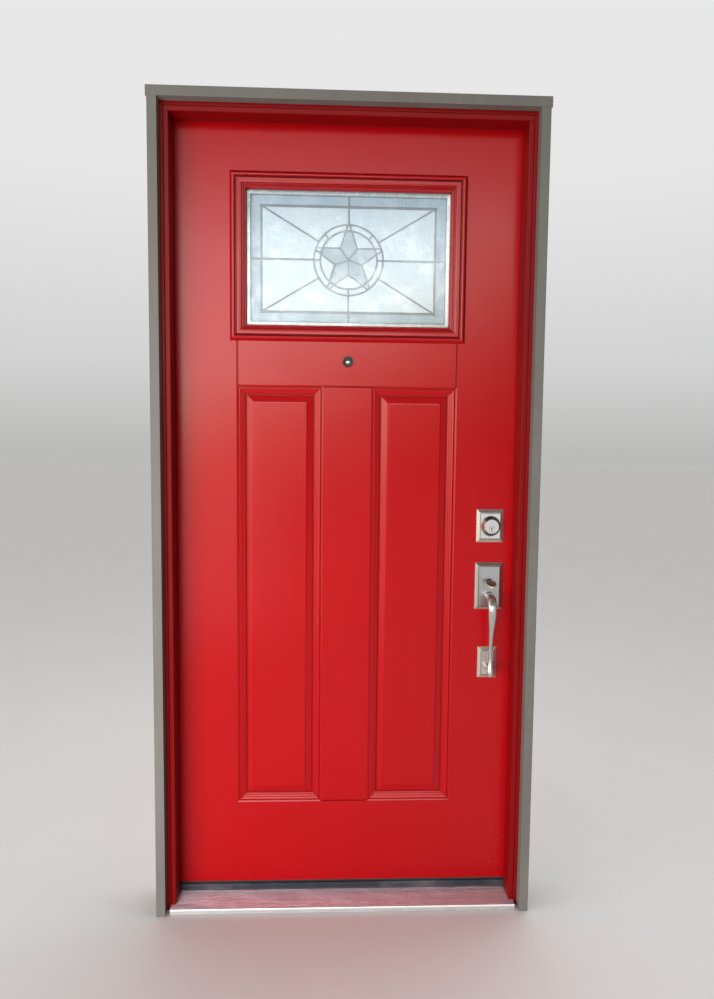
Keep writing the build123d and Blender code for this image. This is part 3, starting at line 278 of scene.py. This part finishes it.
def rim_zone(cz, w, h):
    """Painted highlight on the bevel, paler and warmer, and a painted shadow line for the groove between it and the
    raised flat of a plate.
    """
    def zone(m, c):
        dx, dz = m.math("SUBTRACT", m.xyz(0), LOCK_X), m.math("SUBTRACT", m.xyz(2), cz)
        inward = m.math("MINIMUM", m.math("SUBTRACT", w / 2, m.math("ABSOLUTE", dx)), m.math("SUBTRACT", h / 2, m.math("ABSOLUTE", dz)))
        bevel_highlight = m.remap(inward, 0.0074, 0.0082, 1.0, 0.0)
        groove_shade = m.math("MULTIPLY", m.remap(inward, 0.0078, 0.0086, 0.0, 0.7), m.remap(inward, 0.0098, 0.0106, 1.0, 0.0))
        return m.mix(groove_shade, m.mix(bevel_highlight, c, c4(0.93, 0.85, 0.75)), c4(0.13, 0.11, 0.10))
    return zone


def lip_zone(m, c):
    """Painted highlight along the pad's front lip."""
    dx, dy = m.math("SUBTRACT", m.xyz(0), LOCK_X), m.math("ADD", m.xyz(1), 0.0385)
    r = m.math("SQRT", m.math("ADD", m.math("MULTIPLY", dx, dx), m.math("MULTIPLY", dy, dy)))
    lip_highlight = m.math("MULTIPLY", m.remap(r, 0.0108, 0.0126, 0.0, 1.0, smooth=True), m.remap(dy, -0.004, 0.0, 1.0, 0.0))
    return m.mix(lip_highlight, c, c4(0.92, 0.84, 0.72))


def rose_zone(m, c):
    """Painted contact shadow: a dark ring where the cone meets the plate, stronger to the right."""
    c = rim_zone(COLLAR_Z, 0.0733, 0.0885)(m, c)
    dx, dz, r = from_axis(m, LOCK_X, COLLAR_Z)
    line = m.math("MULTIPLY", m.remap(r, 0.0252, 0.0257, 0.0, 1.0), m.remap(r, 0.0266, 0.0280, 1.0, 0.0))
    shadow_side = m.remap(dx, -0.020, 0.0, 0.25, 0.95, smooth=True)
    return m.mix(m.math("MULTIPLY", line, shadow_side), c, c4(0.10, 0.075, 0.06))


def plug_zone(m, c):
    """Keyway as a near-black slot of painted shade, and a darker ring at the rim of the key plug."""
    dx, dz, r = from_axis(m, LOCK_X, PLUG_Z)
    keyway_shade = m.math("MULTIPLY", m.remap(m.math("ABSOLUTE", dx), 0.0008, 0.0013, 1.0, 0.0), m.remap(m.math("ABSOLUTE", dz), 0.0036, 0.0044, 1.0, 0.0))
    rim = m.remap(r, 0.0060, 0.0066, 0.0, 0.8)
    return m.mix(keyway_shade, m.mix(rim, c, c4(0.20, 0.17, 0.14)), c4(0.012, 0.010, 0.009))


def steel(name, tint=(0.50, 0.49, 0.47)):
    m = Mat(name, Metallic=1.0)
    m.soften(0.0004)
    f = m.noise(220.0, 5.0, 0.65)
    stain = m.noise(26.0, 5.0, 0.7)
    m.color(m.mix(m.remap(stain, 0.45, 0.78, 0.0, 0.7), c4(*tint), c4(0.26, 0.22, 0.18)))
    m.rough(m.remap(f, 0.3, 0.75, 0.30, 0.50))
    m.bump(f, 0.06, 0.0002)
    return m.m


def rubber():
    m = Mat("seal_foam")
    m.soften(0.0008)
    f = m.noise(160.0, 5.0, 0.7)
    m.color(m.mix(m.remap(f, 0.35, 0.75, 0.0, 1.0), c4(0.016, 0.016, 0.017), c4(0.045, 0.043, 0.042)))
    m.rough(m.remap(f, 0.3, 0.7, 0.55, 0.8))
    m.bump(m.noise(1400.0, 3.0, 0.6), 0.3, 0.0003)
    return m.m


def came_metal():
    m = Mat("came_lead", Metallic=0.25)
    f = m.noise(260.0, 5.0, 0.7)
    big = m.noise(30.0, 4.0, 0.6)
    c = m.mix(m.remap(big, 0.35, 0.7, 0.0, 1.0), c4(0.160, 0.190, 0.235), c4(0.200, 0.232, 0.280))
    m.color(m.mix(m.remap(f, 0.5, 0.8, 0.0, 0.6), c, c4(0.10, 0.112, 0.13)))
    m.rough(m.remap(f, 0.3, 0.75, 0.36, 0.52))
    m.bump(f, 0.10, 0.0003)
    return m.m


def art_glass(name, tint, tint2, kind, rough, through=0.25):
    """Textured glass of the leaded panel: mostly milky with daylight behind it."""
    m = Mat(name)
    m.b.inputs["IOR"].default_value = 1.5
    big = m.noise(11.0, 4.0, 0.6)
    m.color(m.mix(m.remap(big, 0.32, 0.7, 0.0, 1.0), c4(*tint), c4(*tint2)))
    if kind == "water":
        w = m.noise(120.0, 3.0, 0.45, m.stretch(1.0, 1.0, 0.8), 1.2)
        m.bump(w, 0.5, 0.004)
    elif kind == "seed":
        w = m.voronoi(190.0, feature="SMOOTH_F1", smooth=0.6)
        m.bump(w, 0.28, 0.002)
        m.bump(m.noise(60.0, 3.0, 0.5), 0.3, 0.003)
    else:
        w = m.noise(420.0, 4.0, 0.6)
        m.bump(w, 0.15, 0.0008)
    m.rough(m.remap(m.noise(75.0, 3.0, 0.6), 0.3, 0.7, rough - 0.05, rough + 0.08))
    m.b.inputs["Transmission Weight"].default_value = through
    m.b.inputs["Subsurface Weight"].default_value = 0.0
    return m.m


def clear_glass():
    """Float glass: mirror reflection by angle, otherwise clear, with a trace of dust."""
    m = Mat("float_glass", Roughness=0.02)
    m.color(c4(0.9, 0.95, 0.93))
    nt = m.nt
    facing = m.n("ShaderNodeLayerWeight")
    facing.inputs["Blend"].default_value = 0.5
    fres = m.math("ADD", m.math("MULTIPLY", m.math("POWER", facing.outputs["Facing"], 5.0), 0.75), 0.022)
    tr = m.n("ShaderNodeBsdfTransparent")
    tr.inputs["Color"].default_value = (0.955, 0.975, 0.97, 1.0)
    dust = m.remap(m.noise(22.0, 5.0, 0.7), 0.45, 0.8, 0.0, 0.035)
    m.b.inputs["Roughness"].default_value = 0.03
    m.b.inputs["Metallic"].default_value = 0.0
    gl = m.n("ShaderNodeBsdfGlossy")
    gl.inputs["Roughness"].default_value = 0.03
    gl.inputs["Color"].default_value = (1, 1, 1, 1)
    mix = m.n("ShaderNodeMixShader")
    m.link(m.math("ADD", fres, dust), mix.inputs[0])
    m.link(tr.outputs[0], mix.inputs[1])
    m.link(gl.outputs[0], mix.inputs[2])
    nt.links.new(mix.outputs[0], m.out.inputs[0])
    return m.m


def lens_glass():
    """Small dome lens over a dark tube."""
    m = Mat("lens_glass", Metallic=0.55)
    f = m.noise(300.0, 3.0, 0.6)
    dx, dz, r = from_axis(m, 0.0, PEEP_Z)
    # painted shadow: the upper part of the lens is darkened to near black
    shade = m.remap(m.math("ADD", dz, m.math("MULTIPLY", r, 0.5)), 0.0022, 0.0042, 0.0, 1.0, smooth=True)
    m.color(m.mix(shade, m.mix(m.remap(f, 0.3, 0.7, 0.0, 1.0), c4(0.62, 0.64, 0.66), c4(0.50, 0.52, 0.55)), c4(0.006, 0.006, 0.007)))
    m.rough(m.remap(f, 0.3, 0.7, 0.04, 0.10))
    m.bump(f, 0.02, 0.0001)
    return m.m


def foam():
    m = Mat("foam")
    v = m.voronoi(900.0)
    m.color(m.mix(m.remap(v, 0.0, 0.6, 0.0, 1.0), c4(0.66, 0.58, 0.34), c4(0.80, 0.73, 0.50)))
    m.rough(0.85)
    m.bump(v, 0.4, 0.0006)
    return m.m


M = {
    "deck": aluminium_deck(),
    "cap": plain_plastic("cap_plastic", (0.024, 0.029, 0.042), (0.040, 0.043, 0.056), 0.42),
    "base": plain_plastic("sill_composite", (0.11, 0.085, 0.07), (0.17, 0.14, 0.12), 0.8, 25.0, 0.35),
    "surround": surround(),
    "seal": rubber(),
    "plate": nickel("satin_nickel_plate", "z"),
    # painted shade and light: the upper plate's nickel is painted darker and the lower plate's paler than the other
    # satin nickel
    "upper": nickel("upper_plate_nickel", "z", tint=(0.57, 0.575, 0.57), zone=rim_zone(0.8605, 0.0755, 0.127)),
    "lower": nickel("lower_plate_nickel", "z", tint=(0.86, 0.845, 0.81), metal=0.88, zone=rim_zone(0.6515, 0.052, 0.085)),
    "grip": nickel("satin_nickel_grip", "z", tint=(0.76, 0.735, 0.70), rough=(0.20, 0.30), metal=0.9),
    "rose": nickel("lock_plate_nickel", "z", tint=(0.70, 0.72, 0.72), metal=0.92, zone=rose_zone),
    "collar": nickel("lock_collar_nickel", "x", rough=(0.18, 0.28), zone=collar_zone),
    "plug": nickel("key_plug_nickel", "x", tint=(0.80, 0.77, 0.70), rough=(0.14, 0.24), zone=plug_zone),
    "barrel": nickel("peephole_dark_nickel", "x", tint=(0.105, 0.100, 0.095), rough=(0.20, 0.30)),
    "bright": nickel("bright_nickel", "x", tint=(0.62, 0.60, 0.56), rough=(0.12, 0.22)),
    # painted shade: the thumbpiece's nickel is painted much darker than the rest of the satin nickel
    "shaded_pad": nickel("pad_nickel_painted_shade", "x", tint=(0.22, 0.20, 0.185), rough=(0.20, 0.30), metal=0.6, zone=lip_zone),
    "lens": lens_glass(),
    "steel": steel("hinge_steel"),
    "screw": steel("screw_steel", (0.58, 0.57, 0.55)),
    "came": came_metal(),
    "border": art_glass("border_art_glass", (0.40, 0.51, 0.65), (0.50, 0.60, 0.72), "water", 0.16),
    "field": art_glass("field_art_glass", (0.73, 0.81, 0.90), (0.62, 0.73, 0.88), "seed", 0.20),
    "star": art_glass("star_art_glass", (0.345, 0.42, 0.51), (0.385, 0.46, 0.55), "frost", 0.45, 0.10),
    "clear": clear_glass(),
    "foam": foam(),
}


def spacer_metal():
    m = Mat("spacer_aluminium", Metallic=0.35)
    f = m.noise(500.0, 3.0, 0.6, m.stretch(0.05, 1.0, 0.05))
    m.color(m.mix(m.remap(f, 0.3, 0.7, 0.0, 1.0), c4(0.74, 0.77, 0.80), c4(0.66, 0.69, 0.73)))
    m.rough(m.remap(f, 0.3, 0.7, 0.18, 0.32))
    m.bump(f, 0.1, 0.0002)
    return m.m


M["spacer"] = spacer_metal()

wear = {
    "deck": ["sill_deck"],
    "base": ["sill_substrate"],
    "cap": ["sill_cap"],
    "surround": ["head_trim", "side_trim_left", "side_trim_right"],
    "seal": ["weatherstrip_hinge_side", "weatherstrip_lock_side", "weatherstrip_head", "corner_seal_pads", "door_sweep"],
    "upper": ["handle_plate_upper"], "lower": ["handle_plate_lower"],
    "plate": ["deadbolt_rose_inside", "lever_rose_inside", "deadbolt_case", "latch_case", "latch_strike", "deadbolt_strike"],
    "grip": ["pull_grip", "inside_lever", "thumbturn"],
    "rose": ["deadbolt_rose_outside"], "collar": ["deadbolt_cylinder"], "plug": ["key_plug"], "barrel": ["peephole_barrel"],
    "shaded_pad": ["thumbpiece"], "lens": ["peephole_lens"],
    "bright": ["latch_bolt", "deadbolt_bolt", "peephole_tube"],
    "steel": ["jamb_hinge_leaves", "door_hinge_leaves", "hinge_pins"],
    "screw": ["jamb_hinge_screws", "door_hinge_screws", "strike_screws", "faceplate_screws", "through_screws", "lite_frame_screws", "sill_cap_screws"],
    "came": ["came_lattice"], "border": ["border_glass"], "field": ["field_glass"], "star": ["star_glass"],
    "clear": ["outer_pane", "inner_pane"],
    "spacer": ["glass_spacers"],
    "foam": ["foam_core"],
}
for key, names in wear.items():
    for nm in names:
        wearer = node[nm]
        wearer.data.materials.clear()
        wearer.data.materials.append(M[key])
for mat, names in ((red_skin, ["skin_exterior", "skin_interior"]), (red_lite, ["lite_frame_exterior", "lite_frame_interior"]),
                   (red_upright, ["hinge_jamb", "strike_jamb", "hinge_stile", "lock_stile"]), (red_level, ["head_jamb", "top_rail", "bottom_rail"])):
    for nm in names:
        node[nm].data.materials.clear()
        node[nm].data.materials.append(mat)

# ----------------------------------------------------------- leaded lattice
MM = 0.001
PANEL_Z, PANEL_Y = 1714.5, 22.25
FACE = 2.0                                                     # half the thickness of a came
verts, faces = [], []
rnd = random.Random(11)


def section(a, b, n=14, power=3.0):
    pts = []
    for i in range(n):
        t = 2 * math.pi * i / n
        c, q = math.cos(t), math.sin(t)
        pts.append((a * math.copysign(abs(c) ** (2 / power), c), b * math.copysign(abs(q) ** (2 / power), q)))
    return pts


def came(path, width, closed=False):
    """Rolled came along (x, z) points of the panel, a little uneven like drawn lead."""
    n = len(path)
    first = len(verts)
    k = 14
    for i, (x, z) in enumerate(path):
        xa, za = path[(i - 1) % n] if (closed or i) else path[i]
        xb, zb = path[(i + 1) % n] if (closed or i < n - 1) else path[i]
        L = math.hypot(xb - xa, zb - za)
        nx, nz = -(zb - za) / L, (xb - xa) / L
        a = (width / 2 + 0.9) * (1 + rnd.uniform(-0.02, 0.02))
        b = FACE * (1 - rnd.uniform(0.0, 0.05))
        for u, v in section(a, b, k):
            verts.append(((x + nx * u) * MM, (PANEL_Y + v) * MM, (PANEL_Z + z + nz * u) * MM))
    rings = n if closed else n - 1
    for i in range(rings):
        p, q = first + i * k, first + ((i + 1) % n) * k
        for j in range(k):
            faces.append((p + j, p + (j + 1) % k, q + (j + 1) % k, q + j))
    if not closed:
        faces.append(tuple(first + j for j in range(k)))
        faces.append(tuple(first + (n - 1) * k + j for j in reversed(range(k))))


def line(xa, za, xb, zb, width, step=6.0):
    L = math.hypot(xb - xa, zb - za)
    n = max(2, int(L / step) + 1)
    came([(xa + (xb - xa) * i / (n - 1), za + (zb - za) * i / (n - 1)) for i in range(n)], width)


def ring_came(r, width, n=120):
    came([(r * math.cos(2 * math.pi * i / n), r * math.sin(2 * math.pi * i / n)) for i in range(n)], width, closed=True)


def solder(x, z, r):
    """Flattened blob of solder over a joint, on both faces."""
    first = len(verts)
    rows, cols = 9, 16
    ph = rnd.uniform(0, 6.28)
    for i in range(rows):
        lat = math.pi * (i / (rows - 1) - 0.5)
        for j in range(cols):
            lon = 2 * math.pi * j / cols
            rr = r * (1 + 0.10 * math.sin(2 * lon + ph) + 0.05 * math.sin(5 * lon + 2 * ph))
            c, q = max(math.cos(lat), 0.0) ** 0.7, math.sin(lat)
            verts.append(((x + rr * c * math.cos(lon)) * MM, (PANEL_Y + (FACE + 0.35) * math.copysign(abs(q) ** 0.8, q)) * MM, (PANEL_Z + z + rr * c * math.sin(lon)) * MM))
    for i in range(rows - 1):
        for j in range(cols):
            a, b = first + i * cols + j, first + i * cols + (j + 1) % cols
            faces.append((a, b, b + cols, a + cols))


def polar(r, deg):
    return r * math.cos(math.radians(deg)), r * math.sin(math.radians(deg))


EX, EZ, RX, RZ, RO, RI = 252.5, 160.0, 226.0, 134.5, 90.0, 74.0
for off, w in ((1.6, 2.6), (8.8, 11.0)):                       # border came, most of it behind the spacer
    x1, z1 = EX + off, EZ + off
    line(-x1, -z1, -x1, z1, w)
    line(x1, -z1, x1, z1, w)
    line(-x1, z1, x1, z1, w)
    line(-x1, -z1, x1, -z1, w)
line(-RX, -RZ, -RX, RZ, 5.2)
line(RX, -RZ, RX, RZ, 5.2)
line(-RX, RZ, RX, RZ, 6.8)
line(-RX, -RZ, RX, -RZ, 6.8)
ring_came(RO, 4.6)
ring_came(RI, 4.6)
for sx, sz in ((0, 1), (0, -1), (1, 0), (-1, 0)):
    line(sx * RO, sz * RO, sx * (EX + 2), sz * (EZ + 2), 4.6)
    solder(sx * RO, sz * RO, 4.4)
    solder(sx * RX, sz * RZ, 4.8)
    solder(sx * EX, sz * EZ, 3.6)
for sx in (-1, 1):
    for sz in (-1, 1):
        L = math.hypot(RX, RZ)
        line(sx * RX / L * RO, sz * RZ / L * RO, sx * RX, sz * RZ, 4.2)
        solder(sx * RX / L * RO, sz * RZ / L * RO, 4.0)
        solder(sx * RX, sz * RZ, 5.0)
for a in (0, 46, 134, 180, 270):
    line(*polar(RI, a), *polar(RO, a), 3.8, 4.0)
    solder(*polar(RI, a), 3.6)
    solder(*polar(RO, a), 3.6)
star_points = []
for k in range(5):
    star_points.append(polar(98.0, 90 + 72 * k))
    star_points.append(polar(37.4, 126 + 72 * k))
for k in range(10):
    (xa, za), (xb, zb) = star_points[k], star_points[(k + 1) % 10]
    tip, foot = ((xa, za), (xb, zb)) if k % 2 == 0 else ((xb, zb), (xa, za))
    d = math.hypot(tip[0] - foot[0], tip[1] - foot[1])
    cut = 9.0 / d                                              # the tips end on the outer ring
    line(foot[0], foot[1], tip[0] + (foot[0] - tip[0]) * cut, tip[1] + (foot[1] - tip[1]) * cut, 4.0)
for k in range(5):
    solder(*polar(RO, 90 + 72 * k), 3.8)
    solder(*polar(37.4, 126 + 72 * k), 3.4)
    x, z = polar(RI, 90 + 72 * k)
    solder(x, z, 4.6)
for a, w in ((54, 3.2), (126, 3.2), (198, 3.2), (342, 3.2), (270, 2.0)):
    line(0, 0, *polar(37.4, a), w, 5.0)
solder(0, 0, 3.8)
lead = bpy.data.meshes.new("leaded_lattice")
lead.from_pydata(verts, [], faces)
lead.validate()
bm = bmesh.new()
bm.from_mesh(lead)
bmesh.ops.recalc_face_normals(bm, faces=bm.faces)
bm.to_mesh(lead)
bm.free()
for poly in lead.polygons:
    poly.use_smooth = True
lead.materials.append(M["came"])
lattice = bpy.data.objects.new("leaded_lattice", lead)
bpy.context.scene.collection.objects.link(lattice)
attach(lattice, "leaf")
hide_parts("came_lattice")

# ------------------------------------------------------------- floor, world
floor_mesh = bpy.data.meshes.new("floor")
floor_mesh.from_pydata([(-30, -30, -0.0004), (30, -30, -0.0004), (30, 30, -0.0004), (-30, 30, -0.0004)], [], [(0, 1, 2, 3)])
floor = bpy.data.objects.new("floor", floor_mesh)
bpy.context.scene.collection.objects.link(floor)
fm = Mat("pale_floor", Roughness=0.75)
pale = fm.mix(fm.remap(fm.noise(3.0, 4.0, 0.6), 0.3, 0.7, 0.0, 1.0), c4(0.88, 0.875, 0.87), c4(0.86, 0.855, 0.85))
# painted shade: for every ray but a camera ray the floor is a darker grey, so it shows darker in reflections and bounce
# light
fm.color(fm.mix(fm.n("ShaderNodeLightPath").outputs["Is Camera Ray"], c4(0.56, 0.56, 0.56), pale))
floor_mesh.materials.append(fm.m)

world = bpy.data.worlds.new("studio")
bpy.context.scene.world = world
world.use_nodes = True
wt = world.node_tree
wt.nodes.clear()


def wn(kind, **kw):
    nd = wt.nodes.new(kind)
    for k, v in kw.items():
        setattr(nd, k, v)
    return nd


def ramp(sock, lo, hi, stops):
    """Colour ramp over a socket's range lo..hi; stops are (value, (r, g, b))."""
    mr = wn("ShaderNodeMapRange")
    wt.links.new(sock, mr.inputs[0])
    mr.inputs[1].default_value, mr.inputs[2].default_value = lo, hi
    cr = wn("ShaderNodeValToRGB")
    wt.links.new(mr.outputs[0], cr.inputs[0])
    el = cr.color_ramp.elements
    stops = [((v - lo) / (hi - lo), c) for v, c in stops]
    el[0].position, el[0].color = stops[0][0], (*stops[0][1], 1)
    el[1].position, el[1].color = stops[-1][0], (*stops[-1][1], 1)
    for v, c in stops[1:-1]:
        e = el.new(v)
        e.color = (*c, 1)
    return cr.outputs[0]


def wmul(a, b):
    nd = wn("ShaderNodeMix", data_type="RGBA", blend_type="MULTIPLY")
    nd.inputs[0].default_value = 1.0
    wt.links.new(a, nd.inputs[6])
    wt.links.new(b, nd.inputs[7])
    return nd.outputs[2]


w_co = wn("ShaderNodeTexCoord")
w_sep = wn("ShaderNodeSeparateXYZ")
wt.links.new(w_co.outputs["Generated"], w_sep.inputs[0])
# a bright softbox over the horizon in front, and two dimmer tall ones at the sides
lean = wn("ShaderNodeMath", operation="MULTIPLY_ADD")       # the softbox hangs lower on the left
wt.links.new(w_sep.outputs[0], lean.inputs[0])
lean.inputs[1].default_value = -0.5
wt.links.new(w_sep.outputs[2], lean.inputs[2])
front_low = ramp(lean.outputs[0], -1.0, 1.0, [(-1.0, (0.0, 0.0, 0.0)), (0.035, (0.0, 0.0, 0.0)), (0.085, (0.41, 0.31, 0.17)), (0.13, (0.96, 0.89, 0.77)), (0.18, (1.0, 1.0, 1.0)), (1.0, (1.0, 1.0, 1.0))])
front_top = ramp(w_sep.outputs[2], -1.0, 1.0, [(-1.0, (0.96, 0.97, 0.98)), (0.21, (0.96, 0.98, 1.0)), (0.25, (0.82, 0.85, 0.88)), (0.285, (0.34, 0.36, 0.38)), (0.32, (0.05, 0.06, 0.07)), (0.45, (0.02, 0.02, 0.02)), (1.0, (0.0, 0.0, 0.0))])
front_z = wmul(front_low, front_top)
front_x = ramp(w_sep.outputs[0], -1.0, 1.0, [(-1.0, (0.0, 0.0, 0.0)), (-0.85, (0.05, 0.045, 0.04)), (-0.68, (0.46, 0.41, 0.34)), (-0.40, (0.78, 0.72, 0.62)), (-0.15, (1.0, 0.99, 0.97)), (0.12, (0.98, 1.0, 1.0)), (0.44, (0.92, 0.97, 1.0)), (0.62, (0.04, 0.04, 0.05)), (1.0, (0.0, 0.0, 0.0))])
side_z = ramp(w_sep.outputs[2], -1.0, 1.0, [(-1.0, (0.10, 0.10, 0.10)), (-0.3, (0.30, 0.29, 0.28)), (0.0, (0.80, 0.79, 0.78)), (0.30, (1.0, 1.0, 1.0)), (0.62, (0.42, 0.44, 0.47)), (1.0, (0.10, 0.11, 0.12))])
side_x = ramp(w_sep.outputs[0], -1.0, 1.0, [(-1.0, (0.86, 0.78, 0.66)), (-0.70, (1.0, 0.94, 0.85)), (-0.42, (0.26, 0.25, 0.24)), (-0.2, (0.04, 0.04, 0.04)), (0.45, (0.04, 0.04, 0.04)), (0.70, (0.26, 0.27, 0.28)), (0.88, (0.48, 0.49, 0.50)), (1.0, (0.34, 0.35, 0.36))])
ahead = ramp(w_sep.outputs[1], -1.0, 1.0, [(-1.0, (1.0, 1.0, 1.0)), (-0.02, (1.0, 1.0, 1.0)), (0.22, (0.15, 0.15, 0.15)), (1.0, (0.12, 0.12, 0.12))])
w_front, w_sides, w_bg = wn("ShaderNodeBackground"), wn("ShaderNodeBackground"), wn("ShaderNodeAddShader")
wt.links.new(wmul(wmul(front_z, front_x), ahead), w_front.inputs[0])
wt.links.new(wmul(wmul(side_z, side_x), ahead), w_sides.inputs[0])
w_sides.inputs[1].default_value = 1.2
w_lp = wn("ShaderNodeLightPath")
sheen = wn("ShaderNodeMath", operation="MULTIPLY_ADD")          # the softbox shows more as sheen than as fill
first = wn("ShaderNodeMath", operation="LESS_THAN")             # and only where it is seen directly
wt.links.new(w_lp.outputs["Ray Depth"], first.inputs[0])
first.inputs[1].default_value = 2.5
seen = wn("ShaderNodeMath", operation="MULTIPLY")
wt.links.new(w_lp.outputs["Is Glossy Ray"], seen.inputs[0])
wt.links.new(first.outputs[0], seen.inputs[1])
wt.links.new(seen.outputs[0], sheen.inputs[0])
sheen.inputs[1].default_value, sheen.inputs[2].default_value = 3.4, 3.2
wt.links.new(sheen.outputs[0], w_front.inputs[1])
wt.links.new(w_front.outputs[0], w_bg.inputs[0])
wt.links.new(w_sides.outputs[0], w_bg.inputs[1])
w_cam = wn("ShaderNodeBackground")
wt.links.new(ramp(w_sep.outputs[2], -1.0, 1.0, [(-1.0, (0.50, 0.50, 0.495)), (-0.01, (0.50, 0.50, 0.495)), (0.10, (0.65, 0.65, 0.65)), (0.32, (0.80, 0.80, 0.80)), (1.0, (0.84, 0.84, 0.84))]), w_cam.inputs[0])
w_cam.inputs[1].default_value = 1.0
w_mix = wn("ShaderNodeMixShader")
w_out = wn("ShaderNodeOutputWorld")
wt.links.new(w_lp.outputs["Is Camera Ray"], w_mix.inputs[0])
wt.links.new(w_bg.outputs[0], w_mix.inputs[1])
wt.links.new(w_cam.outputs[0], w_mix.inputs[2])
wt.links.new(w_mix.outputs[0], w_out.inputs[0])


def sun(name, toward, strength, angle, color=(1, 1, 1)):
    """A very soft directional light; toward is the direction in which it shines."""
    d = bpy.data.lights.new(name, "SUN")
    d.energy, d.angle, d.color = strength, math.radians(angle), color
    o = bpy.data.objects.new(name, d)
    o.rotation_mode = "QUATERNION"
    o.rotation_quaternion = Vector(toward).to_track_quat("-Z", "Y")
    bpy.context.scene.collection.objects.link(o)
    return o



def area(name, loc, aim, sx, sy, power, color=(1, 1, 1)):
    d = bpy.data.lights.new(name, "AREA")
    d.shape, d.size, d.size_y, d.energy, d.color = "RECTANGLE", sx, sy, power, color
    o = bpy.data.objects.new(name, d)
    o.location = loc
    o.rotation_mode = "QUATERNION"
    o.rotation_quaternion = (Vector(aim) - Vector(loc)).to_track_quat("-Z", "Y")
    bpy.context.scene.collection.objects.link(o)
    return o


key = area("key_low_left", (-1.1, -1.8, 0.60), (0.0, 0.0, 0.62), 1.8, 0.8, 63, (1.0, 0.985, 0.955))
key.visible_glossy = False
off_key = bpy.data.collections.new("off_key")                   # the key is flagged off the floor
off_key.objects.link(floor)
off_key.collection_objects[0].light_linking.link_state = "EXCLUDE"
key.light_linking.receiver_collection = off_key


def only(light, names, name):
    """Flags a lamp so that it reaches the listed objects alone."""
    kept = bpy.data.collections.new(name)
    for o in names:
        kept.objects.link(o)
    light.light_linking.receiver_collection = kept


wash = area("floor_wash", (0.0, -0.1, 2.95), (0.0, -0.1, 0.0), 3.4, 1.6, 27, (1.0, 0.985, 0.97))
wash.visible_glossy = False
only(wash, [floor, node["sill_deck"], node["sill_cap"]], "washed")
fill = area("metal_fill", (1.1, -4.4, 0.95), (0.38, 0.0, 0.8), 3.2, 1.9, 12, (0.97, 0.985, 1.0))
only(fill, [node[n] for n in ("handle_plate_upper", "handle_plate_lower", "deadbolt_rose_outside", "deadbolt_cylinder", "key_plug", "pull_grip", "thumbpiece", "peephole_lens")], "nickel_parts")
rear = area("rear_key", (-0.7, 2.4, 1.15), (0.0, 0.05, 1.0), 2.2, 1.5, 42, (1.0, 0.99, 0.97))
rear.visible_glossy = rear.visible_transmission = False
rear.light_linking.receiver_collection = off_key
sun("overhead_soft", (0.62, 0.06, -0.78), 0.25, 70, (1.0, 0.99, 0.97))
sun("rear_soft", (-0.20, -0.40, -0.89), 1.25, 60)

# ------------------------------------------------------------------- camera
pitch, yaw, roll = math.radians(4.65), math.radians(2.40), math.radians(0.58)
fwd = Vector((math.sin(yaw) * math.cos(pitch), math.cos(yaw) * math.cos(pitch), -math.sin(pitch)))
right = Vector((math.cos(yaw), -math.sin(yaw), 0.0))
up = right.cross(fwd)
r2 = right * math.cos(roll) + up * math.sin(roll)
u2 = -right * math.sin(roll) + up * math.cos(roll)
cam_data = bpy.data.cameras.new("camera")
cam_data.sensor_width = 36.0
cam_data.lens = 26.695
cam_data.clip_start, cam_data.clip_end = 0.05, 60.0
camera = bpy.data.objects.new("camera", cam_data)
bpy.context.scene.collection.objects.link(camera)
camera.matrix_world = Matrix(((r2.x, u2.x, -fwd.x, -0.0544), (r2.y, u2.y, -fwd.y, -1.9543), (r2.z, u2.z, -fwd.z, 1.2501), (0, 0, 0, 1)))
bpy.context.scene.camera = camera
bpy.context.scene.view_settings.view_transform = "Standard"
